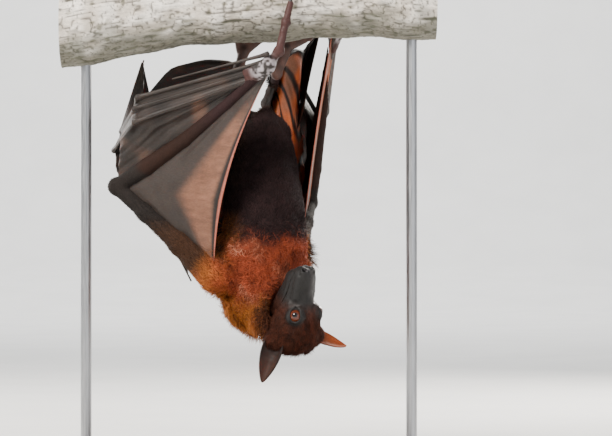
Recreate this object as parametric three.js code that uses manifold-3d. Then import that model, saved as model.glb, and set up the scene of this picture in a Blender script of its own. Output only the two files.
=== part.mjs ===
// A life-size flying fox hanging head down from a cut branch, on a plain display stand.
// Millimetres, +Z up. The origin is the centre of the base's underside. The bat's belly faces -Y,
// turned a little towards +X, so its left side lies towards -X.
import * as THREE from 'three';
import Module from 'manifold-3d';

const wasm = await Module();
wasm.setup();

const point = (x, y, z) => new THREE.Vector3(x, y, z);

// ---------------------------------------------------------------- driving dimensions
const GAP = 0.3; // clearance between neighbouring pieces
const BASE = { length: 344, depth: 300, height: 18, corner: 16 };
const ROD = { radius: 5, x: 148, sunk: 10, reach: 22, sides: 12 };
const PERCH = { halfLength: 170, y: -15, z: 430, radius: 38, slope: 0.075, sag: 0.0004 };
const MEMBRANE = 1.2; // thickness of the wing skin
const FINGER = { joint: 2, tip: 0.8, sides: 5 }; // radii of a finger bone in its skin
const EYE_RADIUS = 6.3;
const LIMB = { // radii from the body outwards
  upperArm: [23, 13.5, 9, 7.5],
  forearm: [7.5, 8.5, 7, 5, 5.5],
  hand: [8.5, 8],
  thumb: [4.5, 4, 3.6, 3],
  thumbClaw: [2.6, 2, 0.7],
  thigh: [13, 10, 7],
  shank: [6.5, 6, 4.2],
  instep: [4.6, 7],
};
const HAND_REACH = 5; // from the wrist's centre each way along the forearm
const INSTEP = { angle: 30, distance: 51, turnShare: 0.45 };
const TOE = {
  radius: 2.6, claw: 1.7, tip: 0.6, lie: 42.5, from: 34, to: 78, clawTo: 96, clawLie: 40.1,
  rootSpread: 2.2, spread: 4.2, splay: 0.035, clawSpread: 7.45, // between toes, by degree for splay
};

// the trunk's own directions: across to the bat's right, and out through the belly
const ACROSS = point(0.83, 0.56, 0).normalize();
const BELLY = point(0.56, -0.83, 0).normalize();

// trunk stations from the neck up to the rump: half width, and half depth to the belly and the back
const TRUNK = [
  { at: point(8, -2, 160), width: 26, belly: 20, back: 20 },
  { at: point(7, -4, 170), width: 38, belly: 29, back: 27 },
  { at: point(9, -4, 185), width: 46, belly: 35, back: 31 },
  { at: point(12, -2, 205), width: 49, belly: 38, back: 31 },
  { at: point(13, 3, 230), width: 45, belly: 36, back: 30 },
  { at: point(13, 9, 260), width: 39, belly: 33, back: 28 },
  { at: point(14, 14, 288), width: 33, belly: 28, back: 25 },
  { at: point(14, 18, 311), width: 26, belly: 21, back: 20 },
  { at: point(15, 20, 328), width: 15, belly: 12, back: 12 },
];

// neck stations from the shoulders down to the skull
const NECK = [
  { at: point(6, -4, 182), radius: 40 },
  { at: point(10, -8, 162), radius: 38 },
  { at: point(20, -16, 145), radius: 33 },
  { at: point(32, -27, 131), radius: 27 },
  { at: point(39, -34, 125), radius: 19 },
];

// the head's own frame: midway between the ears, with the ways to the nose, the crown and the right ear
const HEAD_CENTRE = point(44, -40, 126);
const NOSE_WAY = point(0.17, -0.39, 0.91).normalize();
const EAR_WAY = point(0.74, 0.66, 0.15).projectOnPlane(NOSE_WAY).normalize();
const CROWN_WAY = point(0, 0, 0).crossVectors(EAR_WAY, NOSE_WAY);

// head stations along the nose way: half width at the middle level, and heights of crown and throat
const SKULL = [
  { along: -17, width: 11, middle: -3, crown: 5, throat: 12 },
  { along: -12, width: 19, middle: -3, crown: 12, throat: 17 },
  { along: -4, width: 25, middle: -3, crown: 18, throat: 20 },
  { along: 5, width: 25, middle: -4, crown: 20, throat: 23 },
  { along: 14, width: 22.5, middle: -5, crown: 18, throat: 26 },
  { along: 22, width: 19, middle: -6, crown: 14.5, throat: 27 },
  { along: 30, width: 15.5, middle: -7, crown: 10.5, throat: 26 },
  { along: 38, width: 13, middle: -8, crown: 8, throat: 24 },
  { along: 47, width: 11.6, middle: -7, crown: 6.4, throat: 20.5 },
  { along: 56, width: 10.4, middle: -6, crown: 5.4, throat: 17 },
  { along: 62, width: 8.6, middle: -5, crown: 4.2, throat: 13.5 },
  { along: 66.5, width: 4.5, middle: -4, crown: 1, throat: 8.5 },
];
const EYE = { along: 24.5, crown: 5.5, side: 12.3 };
const EAR = { length: 37, width: 10.5, thickness: 2, cup: 5, sunk: 0.12 };

// each side's joints, with the places where the fingers' bones meet
const SIDES = {
  left: {
    hand: -1,
    shoulder: point(-28, -27, 181),
    elbow: point(-121, 4, 261),
    forearmBow: point(3, 0, -5),
    wrist: point(15, -67, 366),
    thumb: [point(28, -66, 381), point(34, -63, 407), point(38, -60, 424)],
    thumbClaw: [point(38, -60, 424), point(38.5, -58.5, 435), point(38, -54.5, 444)],
    finger2: [point(-68, -47, 357)],
    finger3: [point(-100, -37, 341), point(-116, 47, 295), point(-54, 25, 174)],
    finger4: [point(-103, -32, 331), point(-119, 35, 312), point(-99, 47, 379)],
    finger5: [point(-103, -30, 319), point(-125, 18, 294), point(-97, 35, 344)],
    hip: point(1, 10, 311),
    knee: point(-61, 30, 315),
    ankle: point(-9, 9, 371),
    footTurn: 9,
    skinAlongKnee: false, // the side skin passes behind this knee
    skinSag: 15,
    leadingEdge: [point(18, -62, 360), point(-32, -58, 266), point(-31, -33, 173)],
    trailingEdge: [point(-74, 40, 372), point(-42, 32, 379), point(-20, 20, 377)],
    ear: { base: [-7, -1, -27.5], way: point(-0.29, -0.12, -0.96), crosswise: point(-0.92, 0.2, 0.3) },
  },
  right: {
    hand: 1,
    shoulder: point(38, 18, 183),
    elbow: point(55, 125, 247),
    forearmBow: point(-2, 3, 0),
    wrist: point(80, 37, 408),
    thumb: [point(76, 38, 424), point(71, 33, 441), point(67, 26.5, 452)],
    thumbClaw: [point(67, 26.5, 452), point(65, 21.5, 459), point(63, 14.5, 463)],
    finger2: [point(73, 101, 352)],
    finger3: [point(72, 131, 334), point(37, 146, 247), point(10, 56, 170)],
    finger4: [point(69, 129, 322), point(40, 110, 372), point(67, 64, 412)],
    finger5: [point(65, 124, 309), point(43, 87, 348), point(49, 47, 388)],
    hip: point(25, 26, 311),
    knee: point(16, 85, 340),
    ankle: point(25, 9, 364),
    footTurn: 20,
    skinAlongKnee: true,
    skinSag: 5,
    leadingEdge: [point(76, 33, 402), point(57, 26, 290), point(46, 10, 190)],
    trailingEdge: [point(44, 36, 389), point(38, 26, 385), point(32, 18, 378)],
    ear: { base: [-2, 5, 24], way: point(0.72, 0.58, -0.30), crosswise: point(0.3, -0.6, -0.65) },
  },
};

const COLOURS = {
  mantle: [0xb5622c, 0.95],
  chest: [0x7d3a20, 0.95],
  head: [0x4a2a1e, 0.95],
  membrane: [0x3a2c27, 0.6],
  limb: [0x33241f, 0.8],
  finger: [0x3c302b, 0.55],
  claw: [0x241d1a, 0.35],
  eye: [0x3a150c, 0.1],
  bark: [0xa9a296, 0.95],
  board: [0x3b3835, 0.6],
};

// ---------------------------------------------------------------- closed solids from rings and grids
function toSolid(corners, faces) {
  const mesh = new wasm.Mesh({
    numProp: 3,
    vertProperties: new Float32Array(corners.flatMap((corner) => corner.toArray())),
    triVerts: new Uint32Array(faces.flat()),
  });
  const solid = new wasm.Manifold(mesh);
  return solid.volume() < 0 ? toSolid(corners, faces.map(([a, b, c]) => [a, c, b])) : solid;
}

// joins rings of equal count into one skin and closes both ends with a fan
function ringSolid(rings) {
  const sides = rings[0].length;
  const corners = rings.flat();
  const faces = [];
  for (let ring = 0; ring + 1 < rings.length; ring += 1) {
    for (let side = 0; side < sides; side += 1) {
      const next = (side + 1) % sides;
      const low = ring * sides;
      const high = low + sides;
      faces.push([low + side, low + next, high + next], [low + side, high + next, high + side]);
    }
  }
  for (const [start, flip] of [[0, true], [(rings.length - 1) * sides, false]]) {
    const middle = corners.length;
    corners.push(corners.slice(start, start + sides)
      .reduce((sum, corner) => sum.add(corner), point(0, 0, 0)).divideScalar(sides));
    for (let side = 0; side < sides; side += 1) {
      const next = (side + 1) % sides;
      faces.push(flip ? [middle, start + next, start + side] : [middle, start + side, start + next]);
    }
  }
  return toSolid(corners, faces);
}

// one closed ring round a centre; the second direction may be deeper one way than the other
function ring(centre, sideways, halfWidth, outward, depthOut, depthBack, sides) {
  return Array.from({ length: sides }, (_, side) => {
    const angle = (2 * Math.PI * side) / sides;
    const depth = Math.sin(angle) > 0 ? depthOut : depthBack;
    return centre.clone()
      .addScaledVector(sideways, Math.cos(angle) * halfWidth)
      .addScaledVector(outward, Math.sin(angle) * depth);
  });
}

// a round limb through the given centres, with its own radius at each; coarse ones have flat ends
function limb(centres, radii, sides, grow = 0) {
  const last = centres.length - 1;
  const way = (index) => centres[Math.min(index + 1, last)].clone()
    .sub(centres[Math.max(index - 1, 0)]).normalize();
  let sideways = Math.abs(way(0).z) < 0.8 ? point(0, 0, 1) : point(1, 0, 0);
  const rings = [];
  const addRing = (centre, direction, radius) => {
    sideways = sideways.clone().projectOnPlane(direction).normalize();
    const outward = direction.clone().cross(sideways);
    rings.push(ring(centre, sideways, radius, outward, radius, radius, sides));
  };
  const addDome = (index, sign) => {
    const radius = radii[index] + grow;
    const step = 0.75;
    const centre = centres[index].clone().addScaledVector(way(index), sign * step * radius);
    addRing(centre, way(index), radius * Math.sqrt(1 - step * step));
  };
  const domed = sides > 5;
  if (domed) addDome(0, -1);
  centres.forEach((centre, index) => addRing(centre, way(index), radii[index] + grow));
  if (domed) addDome(last, 1);
  return ringSolid(rings);
}

// a thin skin that follows place(u, v) over the unit square
function skin(place, stepsAlong, stepsAcross, thickness) {
  const small = 0.01;
  const corners = [];
  for (const face of [-1, 1]) {
    for (let row = 0; row <= stepsAlong; row += 1) {
      for (let column = 0; column <= stepsAcross; column += 1) {
        const u = row / stepsAlong;
        const v = column / stepsAcross;
        const along = place(Math.min(u + small, 1), v).sub(place(Math.max(u - small, 0), v));
        const across = place(u, Math.min(v + small, 1)).sub(place(u, Math.max(v - small, 0)));
        const outward = along.cross(across).normalize();
        corners.push(place(u, v).addScaledVector(outward, (face * thickness) / 2));
      }
    }
  }
  const columns = stepsAcross + 1;
  const layer = (stepsAlong + 1) * columns;
  const index = (row, column) => row * columns + column;
  const faces = [];
  for (let row = 0; row < stepsAlong; row += 1) {
    for (let column = 0; column < stepsAcross; column += 1) {
      const [a, b, c, d] = [
        index(row, column), index(row + 1, column), index(row + 1, column + 1), index(row, column + 1),
      ];
      faces.push([a, c, b], [a, d, c], [a + layer, b + layer, c + layer], [a + layer, c + layer, d + layer]);
    }
  }
  const rim = [];
  for (let row = 0; row < stepsAlong; row += 1) rim.push(index(row, 0));
  for (let column = 0; column < stepsAcross; column += 1) rim.push(index(stepsAlong, column));
  for (let row = stepsAlong; row > 0; row -= 1) rim.push(index(row, stepsAcross));
  for (let column = stepsAcross; column > 0; column -= 1) rim.push(index(0, column));
  rim.forEach((here, order) => {
    const next = rim[(order + 1) % rim.length];
    faces.push([here, next, next + layer], [here, next + layer, here + layer]);
  });
  return toSolid(corners, faces);
}

// cuts every cutter out of a solid and keeps the largest piece that is left
function carve(solid, cutters) {
  const left = cutters.reduce((rest, cutter) => rest.subtract(cutter), solid);
  return left.decompose().reduce((best, piece) => (piece.volume() > best.volume() ? piece : best));
}

// ---------------------------------------------------------------- points along bones and edges
function alongPath(points, fraction) {
  const lengths = points.slice(1).map((corner, index) => corner.distanceTo(points[index]));
  let rest = fraction * lengths.reduce((sum, length) => sum + length, 0);
  let piece = 0;
  while (piece < lengths.length - 1 && rest > lengths[piece]) {
    rest -= lengths[piece];
    piece += 1;
  }
  return points[piece].clone().lerp(points[piece + 1], rest / lengths[piece]);
}

// steps evenly through the given points, so that each point is met
function throughPoints(points, fraction) {
  const scaled = fraction * (points.length - 1);
  const piece = Math.min(Math.floor(scaled), points.length - 2);
  return points[piece].clone().lerp(points[piece + 1], scaled - piece);
}

function forearmLine(side, fraction) {
  return side.elbow.clone().lerp(side.wrist, fraction)
    .addScaledVector(side.forearmBow, Math.sin(Math.PI * fraction));
}

// ---------------------------------------------------------------- the trunk, neck and head
function trunk(grow = 0) {
  const sides = 14;
  const rings = TRUNK.map(({ at, width, belly, back }) => (
    ring(at, ACROSS, width + grow, BELLY, belly + grow, back + grow, sides)));
  const up = point(0, 0, 1);
  const first = TRUNK[0];
  const last = TRUNK[TRUNK.length - 1];
  const neckEnd = ring(first.at.clone().addScaledVector(up, -6 - grow), ACROSS, 10, BELLY, 8, 8, sides);
  const rumpEnd = ring(last.at.clone().addScaledVector(up, 8 + grow), ACROSS, 6, BELLY, 5, 5, sides);
  return ringSolid([neckEnd, ...rings, rumpEnd]);
}

function neck(grow = 0) {
  return limb(NECK.map(({ at }) => at), NECK.map(({ radius }) => radius), 10, grow);
}

function inHead(along, crown, side) {
  return HEAD_CENTRE.clone()
    .addScaledVector(NOSE_WAY, along)
    .addScaledVector(CROWN_WAY, crown)
    .addScaledVector(EAR_WAY, side);
}

function head(grow = 0) {
  const sides = 14;
  return ringSolid(SKULL.map(({ along, width, middle, crown, throat }, index) => {
    const end = index === 0 ? -grow : 0;
    const centre = inHead(along + end, middle, 0);
    const [above, below] = [crown - middle + grow, throat + middle + grow];
    return ring(centre, EAR_WAY, width + grow, CROWN_WAY, above, below, sides);
  }));
}

function eye(side, grow = 0) {
  const outward = EAR_WAY.clone().multiplyScalar(side.hand);
  const centre = inHead(EYE.along, EYE.crown, EYE.side * side.hand);
  const rings = [-75, -45, -15, 15, 45, 75].map((degrees) => {
    const angle = THREE.MathUtils.degToRad(degrees);
    const radius = (EYE_RADIUS + grow) * Math.cos(angle);
    const middle = centre.clone().addScaledVector(outward, (EYE_RADIUS + grow) * Math.sin(angle));
    return ring(middle, NOSE_WAY, radius, CROWN_WAY, radius, radius, 10);
  });
  return ringSolid(rings);
}

// an ear is a cupped leaf that opens towards the nose
function ear(side) {
  const { base, way, crosswise } = side.ear;
  const root = inHead(...base);
  const along = way.clone().normalize();
  const sideways = crosswise.clone().projectOnPlane(along).normalize();
  const back = along.clone().cross(sideways);
  if (back.dot(NOSE_WAY) > 0) back.negate();
  const place = (u, v) => {
    const across = 2 * v - 1;
    const half = EAR.width * Math.sqrt(Math.max(0.012, 1 - u ** 2.2)) * (0.82 + 0.5 * u * (1 - u));
    return root.clone()
      .addScaledVector(along, EAR.length * (u - EAR.sunk))
      .addScaledVector(sideways, half * across)
      .addScaledVector(back, EAR.cup * (1 - across * across) * (1 - u * u));
  };
  return skin(place, 6, 4, EAR.thickness);
}

// ---------------------------------------------------------------- arms and fingers
function upperArm(side, grow = 0) {
  const centres = [0, 0.35, 0.7, 1].map((t) => side.shoulder.clone().lerp(side.elbow, t));
  return limb(centres, LIMB.upperArm, 8, grow);
}

function forearm(side, grow = 0) {
  const centres = [0, 0.2, 0.45, 0.75, 1].map((t) => forearmLine(side, t));
  return limb(centres, LIMB.forearm, 8, grow);
}

function hand(side, grow = 0) {
  const towards = side.elbow.clone().sub(side.wrist).normalize();
  const centres = [-HAND_REACH, HAND_REACH].map((step) => side.wrist.clone().addScaledVector(towards, step));
  return limb(centres, LIMB.hand, 8, grow);
}

function thumb(side, grow = 0) {
  return limb([side.wrist, ...side.thumb], LIMB.thumb, 6, grow);
}

function thumbClaw(side) {
  return limb(side.thumbClaw, LIMB.thumbClaw, 6);
}

// the finger bones leave the wrist side by side, in the order of their knuckles
function fingerRoot(side, number) {
  const middle = side.finger4[0];
  const spread = 0.6;
  return side.wrist.clone().addScaledVector(side[`finger${number}`][0].clone().sub(middle), spread);
}

function fingerBones(side, number) {
  return number === 2
    ? [side.wrist.clone().lerp(fingerRoot(side, 3), 2), side.finger2[0]]
    : [fingerRoot(side, number), ...side[`finger${number}`]];
}

// each bone is a limb of its own, so that the finger can fold back sharply at a knuckle
function finger(side, number, grow = 0) {
  const bones = fingerBones(side, number);
  let solid = null;
  for (let bone = 1; bone < bones.length; bone += 1) {
    const ends = [bones[bone - 1], bones[bone]];
    const radii = [FINGER.joint, bone === bones.length - 1 ? FINGER.tip : FINGER.joint];
    const piece = limb(ends, radii, FINGER.sides, grow);
    solid = solid ? solid.add(piece) : piece;
  }
  return solid;
}

// ---------------------------------------------------------------- legs
function thigh(side, grow = 0) {
  const centres = [0, 0.5, 1].map((t) => side.hip.clone().lerp(side.knee, t));
  return limb(centres, LIMB.thigh, 8, grow);
}

function shank(side, grow = 0) {
  const centres = [0, 0.4, 1].map((t) => side.knee.clone().lerp(side.ankle, t));
  return limb(centres, LIMB.shank, 8, grow);
}

function perchCentre(x) {
  return point(x, PERCH.y, PERCH.z + PERCH.slope * x - PERCH.sag * x * x);
}

// a place round the perch: the angle runs from straight below towards the back
function onPerch(x, degrees, distance) {
  const angle = THREE.MathUtils.degToRad(degrees);
  return perchCentre(x).add(point(0, Math.sin(angle) * distance, -Math.cos(angle) * distance));
}

// five toes curl round the back of the perch and end in claws; the instep joins them
function foot(side, grow = 0) {
  const x = side.ankle.x;
  const instep = (across) => (
    onPerch(x + side.footTurn * INSTEP.turnShare + across, INSTEP.angle, INSTEP.distance));
  let solid = limb([side.ankle, instep(0)], LIMB.instep, 6, grow);
  const middle = x + side.footTurn;
  for (let toe = -2; toe <= 2; toe += 1) {
    const centres = [instep(toe * TOE.rootSpread)];
    const radii = [TOE.radius];
    for (const degrees of [TOE.from, (TOE.from + TOE.to) / 2, TOE.to]) {
      centres.push(onPerch(middle + toe * (TOE.spread + degrees * TOE.splay), degrees, TOE.lie));
      radii.push(TOE.radius);
    }
    centres.push(onPerch(middle + toe * TOE.clawSpread, TOE.to + 8, TOE.lie + 1));
    centres.push(onPerch(middle + toe * TOE.clawSpread, TOE.clawTo, TOE.clawLie));
    radii.push(TOE.claw, TOE.tip);
    solid = solid.add(limb(centres, radii, 5, grow));
  }
  return solid;
}

// ---------------------------------------------------------------- wing and leg membranes
// a membrane spans two edges, sagging and pleated between them
function membrane(edgeA, edgeB, { along, across, sag = point(0, 0, 0), pleat = point(0, 0, 0), waves = 0 }) {
  return (grow = 0) => skin((u, v) => {
    const fullness = Math.sin(Math.PI * v) * Math.sqrt(Math.sin(Math.PI * Math.min(0.98, 0.02 + u)));
    return edgeA(u).lerp(edgeB(u), v)
      .addScaledVector(sag, fullness)
      .addScaledVector(pleat, fullness * Math.sin(2 * Math.PI * waves * u));
  }, along, across, MEMBRANE + 2 * grow);
}

// the front skin of the arm, from the shoulder to the wrist, with a free leading edge
function armMembrane(side) {
  const [top, middle, bottom] = side.leadingEdge;
  const edge = new THREE.QuadraticBezierCurve3(top, middle, bottom);
  const bones = (u) => (u < 0.6
    ? forearmLine(side, 0.97 - (0.97 * u) / 0.6)
    : side.elbow.clone().lerp(side.shoulder, (u - 0.6) / 0.4));
  return membrane((u) => edge.getPoint(u), bones, { along: 8, across: 2 });
}

// a web is one panel for each bone, joined, so that it can fold back sharply with the fingers
function joined(panels) {
  return (grow = 0) => panels.map((panel) => panel(grow)).reduce((sum, solid) => sum.add(solid));
}

function fingerMembrane(side, first, second) {
  const edge = (number, bone) => {
    const bones = fingerBones(side, number);
    const start = bone === 0 ? 0.12 : 0;
    return (u) => bones[bone].clone().lerp(bones[bone + 1], start + (0.99 - start) * u);
  };
  return joined([0, 1, 2].map((bone) => (
    membrane(edge(first, bone), edge(second, bone), { along: 2, across: 1 }))));
}

// between the last finger and the forearm
function outerSideMembrane(side) {
  const [root, knuckle, middle] = fingerBones(side, 5);
  const upper = [(u) => forearmLine(side, 0.96 - 0.6 * u), (u) => root.clone().lerp(knuckle, 0.05 + 0.95 * u)];
  const lower = [(u) => forearmLine(side, 0.36 - 0.36 * u), (u) => knuckle.clone().lerp(middle, u)];
  return joined([
    membrane(...upper, { along: 3, across: 2, sag: BELLY.clone().multiplyScalar(-3) }),
    membrane(...lower, { along: 2, across: 2 }),
  ]);
}

// from the last finger and the free trailing edge to the arm, the flank and the leg
function innerSideMembrane(side) {
  const flank = (index, share) => TRUNK[index].at.clone()
    .addScaledVector(ACROSS, side.hand * TRUNK[index].width * share)
    .addScaledVector(BELLY, -TRUNK[index].back * 0.35);
  const bend = side.skinAlongKnee ? side.knee : side.hip.clone().lerp(side.ankle, 0.3);
  const body = [
    side.elbow.clone().lerp(side.shoulder, 0.02), side.shoulder.clone().lerp(side.elbow, 0.4),
    flank(3, 0.7), flank(5, 0.75), flank(7, 0.6),
    bend, bend.clone().lerp(side.ankle, 0.6), side.ankle.clone().lerp(bend, 0.04),
  ];
  const [, knuckle, tip] = side.finger5;
  const [far, middle, near] = side.trailingEdge;
  const outer = [
    knuckle.clone().lerp(tip, 0.03), knuckle.clone().lerp(tip, 0.5), tip, far, middle, near,
    near.clone().lerp(side.ankle, 0.5), side.ankle.clone().lerp(near, 0.22),
  ];
  const options = {
    along: 8, across: 3, waves: 2, pleat: ACROSS.clone().multiplyScalar(2.5),
    sag: BELLY.clone().multiplyScalar(-side.skinSag),
  };
  return membrane((u) => throughPoints(body, u), (u) => throughPoints(outer, u), options);
}

// a narrow web inside the bend of the leg, with a hollow free edge
function legMembrane(side) {
  const rump = TRUNK[TRUNK.length - 1].at.clone();
  const free = new THREE.QuadraticBezierCurve3(
    side.ankle.clone().lerp(side.knee, 0.28),
    side.knee.clone().lerp(side.ankle, 0.35).lerp(rump, 0.55),
    rump,
  );
  const leg = [side.ankle.clone().lerp(side.knee, 0.22), side.knee, side.hip];
  return membrane((u) => alongPath(leg, u), (u) => free.getPoint(u), { along: 6, across: 1 });
}

// ---------------------------------------------------------------- perch and stand
function perch(grow = 0) {
  const sides = 14;
  const steps = 10;
  const rings = [];
  for (let step = 0; step <= steps; step += 1) {
    const x = PERCH.halfLength * ((2 * step) / steps - 1);
    const girth = PERCH.radius * (1 + 0.03 * Math.sin(x * 0.045 + 1) - 0.02 * Math.cos(x * 0.11)) + grow;
    rings.push(Array.from({ length: sides }, (_, side) => {
      const degrees = (360 * side) / sides;
      const swell = 1 + 0.02 * Math.sin((3 * degrees * Math.PI) / 180 + x * 0.03);
      return onPerch(x, degrees, girth * swell);
    }));
  }
  return ringSolid(rings);
}

function rod(x, grow = 0) {
  const top = perchCentre(x).z - PERCH.radius + ROD.reach;
  const ends = [BASE.height - ROD.sunk - grow, top + grow];
  return ringSolid(ends.map((z) => (
    ring(point(x, PERCH.y, z), point(1, 0, 0), ROD.radius + grow, point(0, 1, 0), ROD.radius + grow,
      ROD.radius + grow, ROD.sides))));
}

function base() {
  const cornerSteps = 3;
  const outline = [];
  for (let corner = 0; corner < 4; corner += 1) {
    const turn = (corner * Math.PI) / 2;
    const x = (BASE.length / 2 - BASE.corner) * Math.sign(Math.cos(turn + Math.PI / 4));
    const y = (BASE.depth / 2 - BASE.corner) * Math.sign(Math.sin(turn + Math.PI / 4));
    for (let step = 0; step <= cornerSteps; step += 1) {
      const angle = turn + (step / cornerSteps) * (Math.PI / 2);
      outline.push({ x, y, way: point(Math.cos(angle), Math.sin(angle), 0) });
    }
  }
  const level = (z, radius) => outline.map(({ x, y, way }) => point(x, y, z).addScaledVector(way, radius));
  return ringSolid([
    level(0, BASE.corner), level(BASE.height - 2, BASE.corner), level(BASE.height, BASE.corner - 2),
  ]);
}

// ---------------------------------------------------------------- assembly
const group = new THREE.Group();
const placed = []; // the cutters of every piece so far, each a little larger than its piece

function show(name, solid, colour) {
  const { vertProperties, triVerts } = solid.getMesh();
  const geometry = new THREE.BufferGeometry();
  geometry.setAttribute('position', new THREE.BufferAttribute(vertProperties, 3));
  geometry.setIndex(new THREE.BufferAttribute(triVerts, 1));
  geometry.computeVertexNormals();
  const [color, roughness] = COLOURS[colour];
  const mesh = new THREE.Mesh(geometry, new THREE.MeshStandardMaterial({ color, roughness, metalness: 0 }));
  mesh.name = name;
  group.add(mesh);
}

// adds a piece cut clear of all pieces before it, and keeps its grown shape to cut the later ones
function place(name, make, colour) {
  show(name, carve(make(0), placed), colour);
  placed.push(make(GAP));
}

const standRods = [-ROD.x, ROD.x];
const rodCutters = standRods.map((x) => rod(x, GAP));
show('stand_base', carve(base(), rodCutters), 'board');
show('stand_rod_left', rod(standRods[0]), 'board');
show('stand_rod_right', rod(standRods[1]), 'board');
show('perch', carve(perch(), rodCutters), 'bark');
placed.push(perch(GAP));

for (const [name, side] of Object.entries(SIDES)) place(`eye_${name}`, (grow) => eye(side, grow), 'eye');
place('head', head, 'head');
place('trunk', trunk, 'chest');
place('neck', neck, 'mantle');
for (const [name, side] of Object.entries(SIDES)) {
  const on = (make, ...rest) => (grow) => make(side, ...rest, grow);
  place(`ear_${name}`, () => ear(side), 'head');
  place(`upper_arm_${name}`, on(upperArm), 'mantle');
  place(`hand_${name}`, on(hand), 'limb');
  place(`forearm_${name}`, on(forearm), 'limb');
  place(`thumb_${name}`, on(thumb), 'limb');
  place(`thumb_claw_${name}`, () => thumbClaw(side), 'claw');
  place(`thigh_${name}`, on(thigh), 'limb');
  place(`shank_${name}`, on(shank), 'limb');
  place(`foot_${name}`, on(foot), 'limb');
  for (const number of [2, 3, 4, 5]) place(`finger_${number}_${name}`, on(finger, number), 'finger');
}
for (const [name, side] of Object.entries(SIDES)) {
  place(`arm_membrane_${name}`, armMembrane(side), 'membrane');
  place(`outer_side_membrane_${name}`, outerSideMembrane(side), 'membrane');
  place(`inner_side_membrane_${name}`, innerSideMembrane(side), 'membrane');
  place(`finger_membrane_3_4_${name}`, fingerMembrane(side, 3, 4), 'membrane');
  place(`finger_membrane_4_5_${name}`, fingerMembrane(side, 4, 5), 'membrane');
  place(`leg_membrane_${name}`, legMembrane(side), 'membrane');
}

export default group;
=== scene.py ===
# A life-size flying fox hanging head down from a cut branch, on a plain display stand.
# Sizes are in millimetres and are turned into metres where a mesh is made.
import itertools
import math

import bpy
import numpy as np
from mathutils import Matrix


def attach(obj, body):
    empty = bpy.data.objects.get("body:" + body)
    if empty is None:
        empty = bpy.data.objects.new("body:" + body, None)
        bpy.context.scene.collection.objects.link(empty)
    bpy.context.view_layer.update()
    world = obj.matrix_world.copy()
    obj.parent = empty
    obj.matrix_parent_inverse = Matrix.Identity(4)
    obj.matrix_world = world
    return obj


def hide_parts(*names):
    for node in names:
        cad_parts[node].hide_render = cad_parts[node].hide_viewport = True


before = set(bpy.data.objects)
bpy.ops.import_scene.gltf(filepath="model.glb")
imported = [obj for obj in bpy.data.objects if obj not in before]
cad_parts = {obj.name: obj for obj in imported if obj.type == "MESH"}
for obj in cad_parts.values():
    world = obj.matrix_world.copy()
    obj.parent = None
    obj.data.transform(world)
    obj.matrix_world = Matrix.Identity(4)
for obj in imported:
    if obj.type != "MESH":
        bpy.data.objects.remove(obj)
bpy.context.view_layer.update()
MM = 0.001
rng = np.random.default_rng(20)


def P(*values):
    return np.array(values, dtype=float)


def unit(way):
    way = np.asarray(way, dtype=float)
    return way / np.maximum(np.linalg.norm(way, axis=-1, keepdims=True), 1e-9)


def step(low, high, value):
    t = np.clip((value - low) / (high - low), 0, 1)
    return t * t * (3 - 2 * t)


# ---- camera
CAMERA_AT = (0.052, -2.615, 0.2322)
LENS, SENSOR, SIGHT = 168.2, 36, 50


def link(name, data):
    thing = bpy.data.objects.new(name, data)
    bpy.context.scene.collection.objects.link(thing)
    return thing


camera_data = bpy.data.cameras.new("camera")
camera_data.sensor_width, camera_data.lens, camera_data.clip_end = SENSOR, LENS, SIGHT
camera = link("camera", camera_data)
camera.location = CAMERA_AT
camera.rotation_euler = (math.radians(90), 0, 0)
bpy.context.scene.camera = camera

# ---- sizes shared with the solids
PERCH = dict(half=170, y=-15, z=430, radius=38, slope=0.075, sag=0.0004)
CELL = dict(body=1.5, head=0.58, hand=0.8, foot=0.75)  # how finely each form is skinned
CHEST_COAT, BELLY_COAT = 7.0, 4.0  # how deep the coat is over the skin
MEMBRANE, BONE_RIM, RIM_REACH = 0.9, 1.5, 2.6  # the wing skin's thickness, and its swelling at a bone
EYE_RADIUS, EYE_FIT, CORNEA = 6.3, 0.985, 0.05
# toes lie on the branch from start to end degrees, lie from its axis, and spread along it
TOE = dict(lie=42.5, start=34, end=78, claw_end=97, spread=4.2, splay=0.035, claw_spread=7.5, instep=0.45)
TOES = range(-2, 3)
ACROSS = unit(P(0.83, 0.56, 0))
BELLY = unit(P(0.56, -0.83, 0))
TRUNK_FROM, TRUNK_TO = 160, 328
CHEST_EDGE, MANTLE_EDGE = 215, (214, 236)
# x, y, z of the axis, half width, and how far belly and back stand out
TRUNK = [
    (8, -2, 160, 26, 20, 20), (7, -4, 170, 38, 29, 27), (9, -4, 185, 46, 35, 31), (12, -2, 205, 49, 38, 31),
    (13, 3, 230, 45, 36, 30), (13, 9, 260, 39, 33, 28), (14, 14, 288, 33, 28, 25), (14, 18, 311, 26, 21, 20),
    (15, 20, 328, 15, 12, 12),
]
NECK = [  # x, y, z, radius
    (6, -4, 182, 40), (10, -8, 162, 38), (20, -16, 145, 33), (32, -27, 131, 27), (39, -34, 125, 19)]
THROAT = P(21, -36, 138)
HEAD = P(44, -40, 126)
NOSE = unit(P(0.17, -0.39, 0.91))
EAR_WAY = P(0.74, 0.66, 0.15)
EAR_WAY = unit(EAR_WAY - NOSE * (EAR_WAY @ NOSE))
CROWN = np.cross(EAR_WAY, NOSE)
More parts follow.
